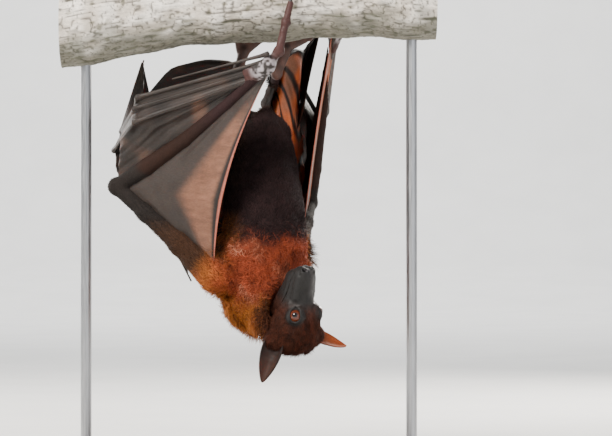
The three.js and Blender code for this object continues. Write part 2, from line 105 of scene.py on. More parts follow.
# along the nose, half width, middle, crown and chin
SKULL = [
    (-17, 11, -3, 5, 12), (-12, 19, -3, 12, 17), (-4, 25, -3, 18, 20), (5, 25, -4, 20, 23),
    (14, 22.5, -5, 18, 26), (22, 19, -6, 14.5, 27), (30, 15.5, -7, 10.5, 26), (38, 13, -8, 8, 24),
    (47, 11.6, -7, 6.4, 20.5), (56, 10.4, -6, 5.4, 17), (62, 8.6, -5, 4.2, 13.5), (66.5, 4.5, -4, 1, 8.5),
]
EYE, GAZE = P(24.5, 5.5, 12.3), P(0.58, 0.45, 0.68)
LIDS, OPENING = 7.2, (8.2, 4.7, 4.8)
TRUNK_ENDS, HEAD_ENDS = (163, 333), (-10.5, 66.5)
JAW_LINE = [(20, -16, 0), (62, -7, 0)]
EAR = dict(length=37, width=10.5, thickness=1.3, cup=5, sunk=0.12)
# dark: the distances from the upper arm where its dark fur begins and where it is full;
# bow: how far the forearm bends out; ear: its base in the head's own frame, its way and its width's way
SIDES = {
    "left": dict(
        hand=-1, dark=(34, 26),
        shoulder=P(-28, -27, 181), elbow=P(-121, 4, 261), bow=P(3, 0, -5), wrist=P(15, -67, 366),
        thumb=[P(28, -66, 381), P(34, -63, 407), P(38, -60, 424)],
        claw=[P(38, -60, 424), P(38.5, -58.5, 435), P(38, -54.5, 444)],
        finger2=[P(-68, -47, 357)],
        finger3=[P(-100, -37, 341), P(-116, 47, 295), P(-54, 25, 174)],
        finger4=[P(-103, -32, 331), P(-119, 35, 312), P(-99, 47, 379)],
        finger5=[P(-103, -30, 319), P(-125, 18, 294), P(-97, 35, 344)],
        hip=P(1, 10, 311), knee=P(-61, 30, 315), ankle=P(-9, 9, 371), turn=9,
        leading=[P(18, -62, 360), P(-32, -58, 266), P(-31, -33, 173)],
        trailing=[P(-74, 40, 372), P(-42, 32, 379), P(-20, 20, 377)],
        ear=(P(-7, -1, -27.5), P(-0.29, -0.12, -0.96), P(-0.92, 0.2, 0.3))),
    "right": dict(
        hand=1, dark=(22, 16),
        shoulder=P(38, 18, 183), elbow=P(55, 125, 247), bow=P(-2, 3, 0), wrist=P(80, 37, 408),
        thumb=[P(76, 38, 424), P(71, 33, 441), P(67, 26.5, 452)],
        claw=[P(67, 26.5, 452), P(65, 21.5, 459), P(63, 14.5, 463)],
        finger2=[P(73, 101, 352)],
        finger3=[P(72, 131, 334), P(37, 146, 247), P(10, 56, 170)],
        finger4=[P(69, 129, 322), P(40, 110, 372), P(67, 64, 412)],
        finger5=[P(65, 124, 309), P(43, 87, 348), P(49, 47, 388)],
        hip=P(25, 26, 311), knee=P(16, 85, 340), ankle=P(25, 9, 364), turn=20,
        leading=[P(76, 33, 402), P(57, 26, 290), P(46, 10, 190)],
        trailing=[P(44, 36, 389), P(38, 26, 385), P(32, 18, 378)],
        ear=(P(-2, 5, 24), P(0.72, 0.58, -0.30), P(0.3, -0.6, -0.65))),
}


# ---- colours
def colour(code):
    """An sRGB hex code as linear red, green and blue."""
    value = np.array([int(code[i:i + 2], 16) for i in (0, 2, 4)]) / 255
    return np.where(value <= 0.04045, value / 12.92, ((value + 0.055) / 1.055) ** 2.4)


MANTLE, NAPE, CHEST = colour("a5622a"), colour("8a4a20"), colour("96452c")
# the first colour on the next line is a painted highlight for the chest fur
CHEST_HIGHLIGHT, BELLY_FUR, BACK_FUR = colour("c98a6c"), colour("2b1d1d"), colour("2a1c17")
HEAD_FUR, MUZZLE, BROW = colour("42251a"), colour("1d1b1a"), colour("5a2c1e")
# the second colour on the next line is a painted highlight on bare skin, at the wrist and on the nose
LIMB, SKIN_HIGHLIGHT = colour("231f1d"), colour("a39a9c")
# the last colour on the next line is a painted glow of light through the wing skin
WING, WING_WARM, WING_GLOW = colour("2f2723"), colour("7a5340"), colour("a9562f")
# on the next line, the first colour is a painted rim highlight for the wing skin's edges, and the last a
# painted glow of light through the ears
RIM_HIGHLIGHT, FOOT, EAR_GLOW = colour("a8604f"), colour("6b4a40"), colour("a05028")
PALM, PUPIL, EYE_RIM = colour("7a3a34"), colour("050303"), colour("120a08")
IRIS_DARK, IRIS = colour("44190d"), colour("743818")
CLAW_DARK, CLAW_PALE = colour("1d1715"), colour("5a463c")
BARK_GREY, BARK_PALE, LICHEN = colour("cfc3b4"), colour("efe6da"), colour("6f6a58")
# the last colour on the next line is painted shade for the branch's underside
CRACK, SPECK, UNDERSIDE_SHADE = colour("2e2c26"), colour("35342c"), colour("4f5040")
WOOD_PALE, WOOD, BARK_EDGE = colour("b08d62"), colour("8a6540"), colour("5b4a38")
BOARD, STEEL, FLOOR = colour("4a3a2e"), (0.42, 0.42, 0.43), (0.78, 0.77, 0.75)


def mix(first, second, amount):
    amount = np.asarray(amount, dtype=float)[..., None]
    return np.asarray(first) * (1 - amount) + np.asarray(second) * amount


# ---- noise and curves
def noise(points, seed=0):
    """Smooth value noise between -1 and 1, with one bump per unit."""
    cell = np.floor(points).astype(np.int64)
    part = points - cell
    part = part * part * (3 - 2 * part)
    total = np.zeros(len(points))
    for corner in itertools.product((0, 1), repeat=3):
        at = cell + corner
        key = (at[:, 0] * 73856093) ^ (at[:, 1] * 19349663) ^ (at[:, 2] * 83492791) ^ (seed * 40503 + 977)
        key = (key ^ (key >> 13)) * 1274126177
        value = ((key ^ (key >> 16)) & 0xFFFF) / 65535
        total += value * np.prod(np.where(corner, part, 1 - part), axis=1)
    return 2 * total - 1


def smooth(x, xs, ys):
    """A smooth curve through the points xs, ys."""
    xs, ys = np.asarray(xs, float), np.asarray(ys, float)
    slope = np.gradient(ys, xs)
    x = np.clip(x, xs[0], xs[-1])
    i = np.clip(np.searchsorted(xs, x) - 1, 0, len(xs) - 2)
    h = xs[i + 1] - xs[i]
    t = (x - xs[i]) / h
    return ((2 * t ** 3 - 3 * t ** 2 + 1) * ys[i] + (t ** 3 - 2 * t ** 2 + t) * h * slope[i]
            + (3 * t ** 2 - 2 * t ** 3) * ys[i + 1] + (t ** 3 - t ** 2) * h * slope[i + 1])


def perch_centre(x):
    x = np.asarray(x, dtype=float)
    z = PERCH["z"] + PERCH["slope"] * x - PERCH["sag"] * x * x
    return np.stack([x, np.full_like(x, PERCH["y"]), z], -1)


def on_perch(x, degrees, distance):
    """A place round the branch: degrees from straight below, distance from its axis."""
    angle = np.radians(degrees)
    out = np.stack([0 * angle * x, np.sin(angle) * distance, -np.cos(angle) * distance], -1)
    return perch_centre(x) + out


# ---- rounded forms as distance fields
class Form:
    """A body of flesh: forms are joined and cut smoothly, then skinned with quads."""

    def __init__(self, low, high, cell):
        self.low, self.cell = np.array(low, float), cell * 1
        self.size = np.ceil((np.array(high, float) - self.low) / self.cell).astype(int) + 1
        self.value = np.full(self.size, 99.0, dtype=np.float32)

    def near(self, low, high):
        first = np.clip(((low - self.low) / self.cell).astype(int), 0, self.size - 1)
        last = np.clip(np.ceil((high - self.low) / self.cell).astype(int) + 1, first + 1, self.size)
        cut = tuple(slice(a, b) for a, b in zip(first, last))
        axes = [self.low[i] + self.cell * np.arange(first[i], last[i]) for i in range(3)]
        return cut, np.stack(np.meshgrid(*axes, indexing="ij"), -1)

    def blend(self, cut, distance, k, sign=1):
        """Joins a form (sign 1) or cuts it away (sign -1), rounding the meeting over k."""
        old, new = self.value[cut] * sign, distance
        share = np.clip(0.5 + 0.5 * (old - new) / k, 0, 1)
        self.value[cut] = sign * (old * (1 - share) + new * share - k * share * (1 - share))

    def bone(self, a, b, ra, rb, k=3, sign=1):
        a, b = np.asarray(a, float), np.asarray(b, float)
        reach = max(ra, rb) + k + 2 * self.cell
        cut, at = self.near(np.minimum(a, b) - reach, np.maximum(a, b) + reach)
        way = b - a
        t = np.clip(((at - a) @ way) / (way @ way), 0, 1)
        gap = at - a - t[..., None] * way
        self.blend(cut, np.sqrt((gap * gap).sum(-1)) - (ra + (rb - ra) * t), k, sign)

    def chain(self, points, radii, k=3):
        for i in range(len(points) - 1):
            self.bone(points[i], points[i + 1], radii[i], radii[i + 1], k if i == 0 else 0.6 * k)

    def ball(self, centre, radii, k=3, sign=1, axes=None):
        """A ball, or an egg with a radius for each axis."""
        radii = np.asarray(radii, float)
        reach = radii.max() + k + 2 * self.cell
        cut, at = self.near(centre - reach, centre + reach)
        at = at - centre
        if axes is not None:
            at = at @ np.array(axes).T
        scaled = at / radii
        length = np.sqrt((scaled ** 2).sum(-1))
        slope = np.sqrt(((scaled / radii) ** 2).sum(-1))
        self.blend(cut, length * (length - 1) / np.maximum(slope, 1e-4), k, sign)

    def skin(self):
        """Quads through the cells that the surface crosses."""
        value, inside = self.value, self.value < 0
        count = np.zeros(self.size - 1, dtype=np.int8)
        corners = list(itertools.product((0, 1), repeat=3))
        for dx, dy, dz in corners:
            count += inside[dx:self.size[0] - 1 + dx, dy:self.size[1] - 1 + dy, dz:self.size[2] - 1 + dz]
        mixed = (count > 0) & (count < 8)
        cells = np.argwhere(mixed)
        index = np.full(mixed.shape, -1)
        index[mixed] = np.arange(len(cells))
        total, number = np.zeros((len(cells), 3)), np.zeros(len(cells))
        for axis in range(3):
            ahead = np.eye(3, dtype=int)[axis]
            for corner in corners:
                if corner[axis]:
                    continue
                a = cells + corner
                b = a + ahead
                va, vb = value[tuple(a.T)], value[tuple(b.T)]
                cross = (va < 0) != (vb < 0)
                share = (va / np.where(cross, va - vb, 1))[:, None]
                total[cross] += (np.array(corner) + share * ahead)[cross]
                number[cross] += 1
        places = self.low + self.cell * (cells + total / number[:, None])
        quads = []
        for axis in range(3):
            one, two = [(1, 2), (2, 0), (0, 1)][axis]
            ahead, e1, e2 = np.eye(3, dtype=int)[[axis, one, two]]
            body = [slice(1, n - 1) for n in self.size]
            body[axis] = slice(0, self.size[axis] - 1)
            beyond = list(body)
            beyond[axis] = slice(1, self.size[axis])
            here, there = inside[tuple(body)], inside[tuple(beyond)]
            for flip in (False, True):
                edges = np.argwhere((here & ~there) if not flip else (~here & there))
                edges += [s.start for s in body]
                ring = [index[tuple((edges - o).T)] for o in (e1 * 0, e1, e1 + e2, e2)]
                quad = np.stack(ring, -1)
                quads.append(quad[:, ::-1] if flip else quad)
        return places, np.vstack(quads)


def normals_of(corners, quads):
    a, b, c = (corners[quads[:, i]] for i in (0, 1, 2))
    d = corners[quads[:, -1]]
    flat = np.cross(c - a, d - b) if quads.shape[1] == 4 else np.cross(b - a, c - a)
    total = np.zeros_like(corners)
    for i in range(quads.shape[1]):
        np.add.at(total, quads[:, i], flat)
    return unit(total)


# ---- meshes
def grid(rows, columns, closed=True):
    """Quads between rows of corners; closed joins each row's last corner to its first."""
    row, col = np.meshgrid(np.arange(rows - 1), np.arange(columns if closed else columns - 1), indexing="ij")
    here, after = row * columns + col, row * columns + (col + 1) % columns
    return np.stack([here, after, after + columns, here + columns], -1).reshape(-1, 4)


def fan(start, columns, tip):
    """Triangles between one tip and the ring of corners that begins at start."""
    col = np.arange(columns)
    return np.stack([np.full(columns, tip), start + col, start + (col + 1) % columns], -1)


def turned(faces):
    """The same faces, facing the other way."""
    return np.hstack([faces[:, :1], faces[:, :0:-1]])


class Pile:
    """Surfaces gathered into one mesh, each with its colours and its material's number."""

    def __init__(self):
        self.corners, self.faces, self.kinds, self.colours = [], [], [], []
        self.count = 0

    def add(self, corners, faces, kind, colours):
        for face in faces:
            self.faces.append(np.asarray(face) + self.count)
            self.kinds.append(np.full(len(face), kind))
        self.corners.append(corners)
        self.colours.append(np.broadcast_to(colours, (len(corners), 3)))
        self.count += len(corners)

    def build(self, name, materials, patch=None):
        corners = np.vstack(self.corners) * MM
        sizes = np.concatenate([np.full(len(face), face.shape[1]) for face in self.faces])
        loops = np.concatenate([face.ravel() for face in self.faces]).astype(np.int32)
        mesh = bpy.data.meshes.new(name)
        mesh.vertices.add(len(corners))
        mesh.vertices.foreach_set("co", corners.astype(np.float32).ravel())
        mesh.loops.add(len(loops))
        mesh.loops.foreach_set("vertex_index", loops)
        mesh.polygons.add(len(sizes))
        mesh.polygons.foreach_set("loop_start", (np.cumsum(sizes) - sizes).astype(np.int32))
        for item in materials:
            mesh.materials.append(item)
        mesh.polygons.foreach_set("material_index", np.concatenate(self.kinds).astype(np.int32))
        mesh.polygons.foreach_set("use_smooth", np.ones(len(sizes), dtype=bool))
        mesh.update(calc_edges=True)
        # the colour attribute carries the markings together with painted light and shade
        paint = mesh.color_attributes.new(name="marking_and_painted_light", type="FLOAT_COLOR", domain="POINT")
        rgba = np.ones((len(corners), 4), dtype=np.float32)
        rgba[:, :3] = np.vstack(self.colours)
        paint.data.foreach_set("color", rgba.ravel())
        if patch is not None:
            layer = mesh.uv_layers.new(name="OFBake")
            layer.data.foreach_set("uv", patch[loops].astype(np.float32).ravel())
        mesh.validate()
        return link(name, mesh)


def tube(points, radii, sides=10, flat=1.0):
    """A closed round tube with rounded ends; flat under 1 presses it in one direction."""
    points = np.asarray(points, float)
    ways = unit(np.gradient(points, axis=0))
    side = np.cross(ways[0], P(0, 0, 1))
    if np.linalg.norm(side) < 0.2:
        side = np.cross(ways[0], P(1, 0, 0))
    rings = []
    turn = np.linspace(0, 2 * math.pi, sides, endpoint=False)
    for place, way, radius in zip(points, ways, radii):
        side = unit(side - way * (side @ way))
        other = np.cross(way, side)
        rings.append(place + radius * (np.cos(turn)[:, None] * side + flat * np.sin(turn)[:, None] * other))
    first = points[:1] - ways[:1] * radii[0] * 0.5
    last = points[-1:] + ways[-1:] * radii[-1] * 0.5
    count, end = len(points), (len(points) - 1) * sides
    faces = [grid(count, sides), turned(fan(0, sides, count * sides)), fan(end, sides, count * sides + 1)]
    return np.vstack(rings + [first, last]), faces


def sheet(place, along, across, half):
    """A thin closed sheet over the unit square; half gives half its thickness at u, v."""
    u, v = np.meshgrid(np.linspace(0, 1, along + 1), np.linspace(0, 1, across + 1), indexing="ij")
    middle = place(u, v)
    du, dv = np.gradient(middle, axis=0), np.gradient(middle, axis=1)
    out = unit(np.cross(du, dv))
    depth = half(u, v)[..., None]
    corners = np.concatenate([(middle + out * depth).reshape(-1, 3), (middle - out * depth).reshape(-1, 3)])
    columns, layer = across + 1, (along + 1) * (across + 1)
    top = turned(grid(along + 1, columns, closed=False))
    rim = np.concatenate([
        np.arange(along) * columns, along * columns + np.arange(across),
        np.arange(along, 0, -1) * columns + across, np.arange(across, 0, -1)])
    after = np.roll(rim, -1)
    sides = np.stack([after, rim, rim + layer, after + layer], -1)
    return corners, [top, top[:, ::-1] + layer, sides], np.tile(u.ravel(), 2), np.tile(v.ravel(), 2)


# ---- materials
def material(name, scale, base=None, detail=5.0, stretch=(1, 1, 1), ragged=0.55, tones=(0.75, 1.25),
             rough=0.5, bump=0.0, depth=0.0, broad=False, cells=0.0, sockets=()):
    """A base colour, or the colour attribute with the markings and painted light, broken up by noise, with a
    fine relief of the same noise.
    """
    item = bpy.data.materials.new(name)
    item.use_nodes = True
    tree = item.node_tree
    shader = tree.nodes["Principled BSDF"]

    def node(kind, output, inputs=(), **settings):
        made = tree.nodes.new(kind)
        for key, value in settings.items():
            setattr(made, key, value)
        for key, value in dict(inputs).items():
            if isinstance(value, bpy.types.NodeSocket):
                tree.links.new(value, made.inputs[key])
            else:
                made.inputs[key].default_value = value
        return made.outputs[output]

    def ripples(scale, detail, stretch=(1, 1, 1), ragged=0.55):
        mapped = node("ShaderNodeMapping", "Vector", {"Vector": where, "Scale": stretch})
        return node("ShaderNodeTexNoise", "Fac",
                    {"Vector": mapped, "Scale": scale, "Detail": detail, "Roughness": ragged})

    def spread(value, low, high, start=0.3, end=0.7):
        return node("ShaderNodeMapRange", "Result",
                    {"Value": value, "From Min": start, "From Max": end, "To Min": low, "To Max": high})

    def sum_of(first, second):
        return node("ShaderNodeMath", 0, {0: first, 1: second}, operation="ADD")

    where = node("ShaderNodeTexCoord", "Object")
    fine = shade = slow = ripples(scale, detail, stretch, ragged)
    if broad:
        slow = ripples(scale * 0.12, 3.0)
        shade = node("ShaderNodeMath", 0, {0: sum_of(fine, slow), 1: 0.5}, operation="MULTIPLY")
    grey = node("ShaderNodeCombineColor", "Color",
                dict.fromkeys(("Red", "Green", "Blue"), spread(shade, *tones)))
    start = (*base, 1) if base is not None else node("ShaderNodeAttribute", "Color", attribute_name="marking_and_painted_light")
    toned = node("ShaderNodeMix", 2, {"Factor": 1.0, 6: start, 7: grey}, data_type="RGBA",
                 blend_type="MULTIPLY")
    tree.links.new(toned, shader.inputs["Base Color"])
    if isinstance(rough, tuple):
        tree.links.new(spread(slow, *rough), shader.inputs["Roughness"])
    else:
        shader.inputs["Roughness"].default_value = rough
    if bump:
        relief = fine
        if cells:
            cracks = node("ShaderNodeTexVoronoi", "Distance", {"Vector": where, "Scale": cells},
                          feature="DISTANCE_TO_EDGE")
            relief = sum_of(fine, spread(cracks, 0.0, 1.0, 0.0, 0.3))
        raised = node("ShaderNodeBump", "Normal", {"Strength": bump, "Distance": depth, "Height": relief})
        tree.links.new(raised, shader.inputs["Normal"])
    for key, value in dict(sockets).items():
        shader.inputs[key].default_value = value
    return item


def gloss(specular, glow=0.0):
    """The shader's settings for skin and fur: how much it shines, and how much light passes through."""
    return {"Specular IOR Level": specular, "Subsurface Weight": glow,
            "Subsurface Radius": (1.0, 0.35, 0.15), "Subsurface Scale": 0.003}


FUR_SKIN, NAKED_SKIN, WEB, EAR_SKIN = range(4)
skin_materials = [
    material("fur_skin", 900, stretch=(1, 1, 0.3), rough=(0.75, 0.9), bump=0.6, depth=0.00015, broad=True,
             sockets=gloss(0.12)),
    material("naked_skin", 700, rough=(0.45, 0.65), bump=0.5, depth=0.0001, broad=True, cells=900,
             sockets=gloss(0.3)),
    material("membrane", 420, stretch=(1, 1, 2.5), tones=(0.7, 1.3), rough=(0.42, 0.62), bump=0.35,
             depth=0.0002, broad=True, cells=260, sockets=gloss(0.3, 0.15)),
    material("ear_skin", 600, stretch=(1, 1, 0.5), rough=(0.55, 0.75), bump=0.4, depth=0.0001, broad=True,
             sockets=gloss(0.2, 0.25)),
]
coat_material = material("coat", 1200, stretch=(1, 1, 0.4), tones=(0.7, 1.3), rough=(0.55, 0.8), bump=0.3,
                         depth=0.0001, broad=True, sockets=gloss(0.15))
eye_material = material("eye", 1800, detail=3.0, tones=(0.7, 1.3), rough=0.06, sockets={
    "Coat Weight": 0.6, "Coat Roughness": 0.02, "Specular IOR Level": 0.25})
horn = material("horn", 900, detail=4.0, stretch=(1, 1, 0.25), tones=(0.6, 1.4), rough=(0.22, 0.42), bump=0.2,
                depth=0.0002)
bark = material("bark", 260, detail=8.0, stretch=(0.35, 1, 1), ragged=0.7, tones=(0.55, 1.4),
                rough=(0.75, 0.95), bump=0.8, depth=0.0006)
board = material("board", 60, BOARD, detail=6.0, stretch=(0.08, 1, 1), ragged=0.65, tones=(0.55, 1.35),
                 rough=(0.38, 0.55), bump=0.15, depth=0.0003)
steel = material("steel", 900, STEEL, detail=3.0, stretch=(1, 1, 0.05), tones=(0.85, 1.15),
                 rough=(0.28, 0.42), sockets={"Metallic": 1.0})
floor_material = material("floor", 6, FLOOR, detail=3.0, tones=(0.97, 1.03), rough=0.9)


# ---- where the markings, and the painted light and shade, lie
def in_head(points):
    return (points - HEAD) @ np.array([NOSE, CROWN, EAR_WAY]).T


def from_head(places):
    return HEAD + places @ np.array([NOSE, CROWN, EAR_WAY])


def trunk_axis(z):
    rows = np.array(TRUNK, float)
    return np.stack([smooth(z, rows[:, 2], rows[:, 0]), smooth(z, rows[:, 2], rows[:, 1]), z], -1)


def share_along(points, start, end):
    """How far along a line each point lies, as 0 to 1, and its distance from the line."""
    way = end - start
    t = np.clip((points - start) @ way / (way @ way), 0, 1)
    gap = np.linalg.norm(points - start - t[:, None] * way, axis=1)
    return t, gap


def off_axis(points):
    """From the trunk's long axis to each point."""
    return points - trunk_axis(np.clip(points[:, 2], TRUNK_FROM, TRUNK_TO))


def front_of(points):
    """1 on the belly side of the body and -1 on its back."""
    return unit(off_axis(points) * [1, 1, 0]) @ BELLY


def on_limb(points):
    """How far each point is outside the trunk and neck, as 0 to 1."""
    off, rows = off_axis(points), np.array(TRUNK, float)
    level = np.clip(points[:, 2], TRUNK_FROM, TRUNK_TO)
    width = smooth(level, rows[:, 2], rows[:, 3]) - 5
    deep = smooth(level, rows[:, 2], rows[:, 4]) - 4
    q = np.sqrt((off @ ACROSS / width) ** 2 + (off @ BELLY / deep) ** 2)
    neck = np.min([share_along(points, P(*a[:3]), P(*b[:3]))[1] - (a[3] + b[3]) / 2 + 8
                   for a, b in zip(NECK, NECK[1:])], axis=0)
    throat = np.linalg.norm(points - THROAT, axis=1) - 12
    return step(1.08, 1.3, q) * step(1.5, 5, np.minimum(neck, throat))


def body_colour(points):
    """The coat's markings: rust chest with painted highlight patches and painted shade between clumps, dark
    belly and back, golden mantle and nape, dark arms and throat.
    """
    z, front = points[:, 2], front_of(points)
    patchy = noise(points / 9, 3)
    # painted highlight: lighter patches on the chest, as if sunlit
    chest = mix(CHEST, CHEST_HIGHLIGHT, step(0.35, 0.95, patchy) * 0.7)
    # painted shade: darker patches, as in the gaps between clumps of fur
    chest = mix(chest, CHEST * 0.35, step(0.3, 0.9, -noise(points / 6, 4)) * 0.8)
    belly = mix(BACK_FUR, BELLY_FUR, step(-0.2, 0.5, front))
    belly = mix(BACK_FUR, belly, step(-0.3, 0.3, front))
    edge = CHEST_EDGE + 7 * noise(points / 12, 5) + 3 * noise(points / 4, 6)
    front_coat = mix(chest, belly, step(edge - 6, edge + 6, z))
    mantle = mix(MANTLE, NAPE, step(0.0, 0.8, patchy))
    back_coat = mix(mantle, BACK_FUR, step(*MANTLE_EDGE, z + 3 * patchy))
    whole = mix(back_coat, front_coat, step(-0.15, 0.45, front + 0.15 * patchy))
    arm = 0
    for side in SIDES.values():
        t, gap = share_along(points, side["shoulder"], side["elbow"])
        arm = np.maximum(arm, step(0.02, 0.16, t) * step(*side["dark"], gap))
    whole = mix(whole, LIMB, 0.9 * arm)
    jaw = share_along(points, *from_head(np.array(JAW_LINE)))[1]
    whole = mix(whole, HEAD_FUR * 0.5, 0.85 * step(29, 21, jaw))
    throat = step(0.1, 0.7, unit(points - P(30, -25, 140)) @ BELLY)
    neck = mix(mantle, mix(CHEST, HEAD_FUR, 0.35), throat)
    whole = mix(whole, neck, step(165, 150, z))
    gap = np.linalg.norm(points - THROAT - P(5, -6, 4), axis=1)
    return mix(whole, HEAD_FUR * 0.6, 0.9 * step(27, 15, gap + 4 * patchy))


def eye_gap(points):
    """From each point to the nearer eye's centre."""
    return np.minimum(*[np.linalg.norm(in_head(points) - EYE * [1, 1, hand], axis=1) for hand in (-1, 1)])


def head_colour(points):
    a, c, s = in_head(points).T
    far = step(20, 38, a)
    coat = mix(HEAD_FUR, BROW, step(0.2, 0.9, noise(points / 5, 8)) * 0.6)
    coat = mix(coat, NAPE, step(-12, -24, a) * 0.5)
    stripe = np.exp(-(s / 2.6) ** 2) * step(8, 16, a) * step(46, 34, a) * step(2, 8, c)
    coat = mix(coat, BROW * 1.5, 0.55 * stripe)
    # painted highlight: the nose pad is painted paler in patches, as if lit
    tip = step(62, 67, a) * step(-7, -2, c) * step(0.1, 0.7, noise(points / 2.2, 12))
    nose = mix(MUZZLE, SKIN_HIGHLIGHT * 0.4, tip * 0.5)
    # painted rim highlight along the bridge of the nose, towards its right side
    bridge_highlight = np.exp(-((s - 2) / 3.2) ** 2) * step(38, 46, a) * step(1, 4, c)
    nose = mix(nose, SKIN_HIGHLIGHT * 0.4, 0.22 * bridge_highlight)
    coat = mix(coat, MUZZLE * 0.8, step(10.5, 8.0, eye_gap(points)))
    return mix(coat, nose, far)


def limb_colour(points):
    return mix(LIMB, LIMB * 1.8, step(0.1, 0.9, noise(points / 7, 9)) * 0.5)


def hand_colour(side):
    def paint(points):
        near = np.linalg.norm(points - side["wrist"], axis=1)
        # painted highlight: the skin at the wrist is painted pale in patches, as if sunlit
        wrist_highlight = mix(LIMB * 1.6, SKIN_HIGHLIGHT, step(-0.5, 0.3, noise(points / 2.6, 10)))
        return mix(wrist_highlight, mix(LIMB, PALM, 0.2), step(9, 16, near))
    return paint


def foot_colour(points):
    # painted light: the toes, high on the branch, are painted lighter, as if sunlit, and the rest of the foot
    # darker
    toe = step(398, 408, points[:, 2])
    return mix(LIMB * 1.2, FOOT, 0.5 + 0.5 * noise(points / 5, 11)) * (0.8 + 0.4 * toe[:, None])


# ---- flesh
def loft(along, across, depth, stations, thin):
    """Distance to an oval section that changes along a form, drawn in by thin."""
    rows = np.array(stations, float)
    width, middle, above, below = (smooth(along, rows[:, 0], rows[:, i]) for i in range(1, 5))
    v = depth - middle
    w = np.maximum(width - thin, 1.5)
    d = np.maximum(np.where(v > 0, above, below) - thin, 1.5)
    length = np.sqrt((across / w) ** 2 + (v / d) ** 2)
    slope = np.sqrt((across / w ** 2) ** 2 + (v / d ** 2) ** 2)
    return length * (length - 1) / np.maximum(slope, 1e-3)


def between(a, b, t):
    return a + (b - a) * t


def forearm_at(side, t):
    t = np.asarray(t)[..., None]
    return between(side["elbow"], side["wrist"], t) + side["bow"] * np.sin(math.pi * t)


def body_form():
    form = Form((-134, -76, 128), (72, 140, 392), CELL["body"])
    cut, at = form.near(P(-60, -60, 145), P(80, 70, 345))
    z, rows = at[..., 2], np.array(TRUNK, float)
    off = at[..., :2] - np.stack([smooth(z, rows[:, 2], rows[:, i]) for i in (0, 1)], -1)
    stations = [(level, width, 0, belly, back) for _, _, level, width, belly, back in TRUNK]
    coat_depth = CHEST_COAT - (CHEST_COAT - BELLY_COAT) * step(215, 250, z)
    trunk = loft(z, off @ ACROSS[:2], off @ BELLY[:2], stations, coat_depth)
    ends, rounding = np.maximum(z - TRUNK_ENDS[1], TRUNK_ENDS[0] - z), 16
    share = np.clip(0.5 + 0.5 * (ends - trunk) / rounding, 0, 1)
    form.blend(cut, trunk * (1 - share) + ends * share + rounding * share * (1 - share), 4)
    neck_radii = [row[3] - thin for row, thin in zip(NECK, (8, 9, 10, 11, 9))]
    form.chain([P(*row[:3]) for row in NECK], neck_radii, 8)
    for side in SIDES.values():
        shoulder, elbow, hip, knee = (side[key] for key in ("shoulder", "elbow", "hip", "knee"))
        form.chain([between(shoulder, elbow, t) for t in (0, 0.35, 0.7, 1)], [17, 10.5, 7.8, 7], 9)
        form.chain([forearm_at(side, t) for t in (0, 0.2, 0.45, 0.75, 1)], [7, 8, 6.6, 4.8, 5], 3)
        form.chain([between(hip, knee, t) for t in (0, 0.5, 1)], [11, 8, 5.8], 6)
        form.ball(knee, 6.6, 2)
        form.ball(elbow, 8, 3)
        form.chain([between(knee, side["ankle"], t) for t in (0, 0.4, 1)], [5.8, 5.4, 3.8], 3)
    jaw = from_head(np.array(JAW_LINE))
    form.ball(THROAT, (15, 13, 20), 10)
    form.bone(jaw[0], jaw[1], 22, 15, 5, -1)  # room for the lower jaw
    return form


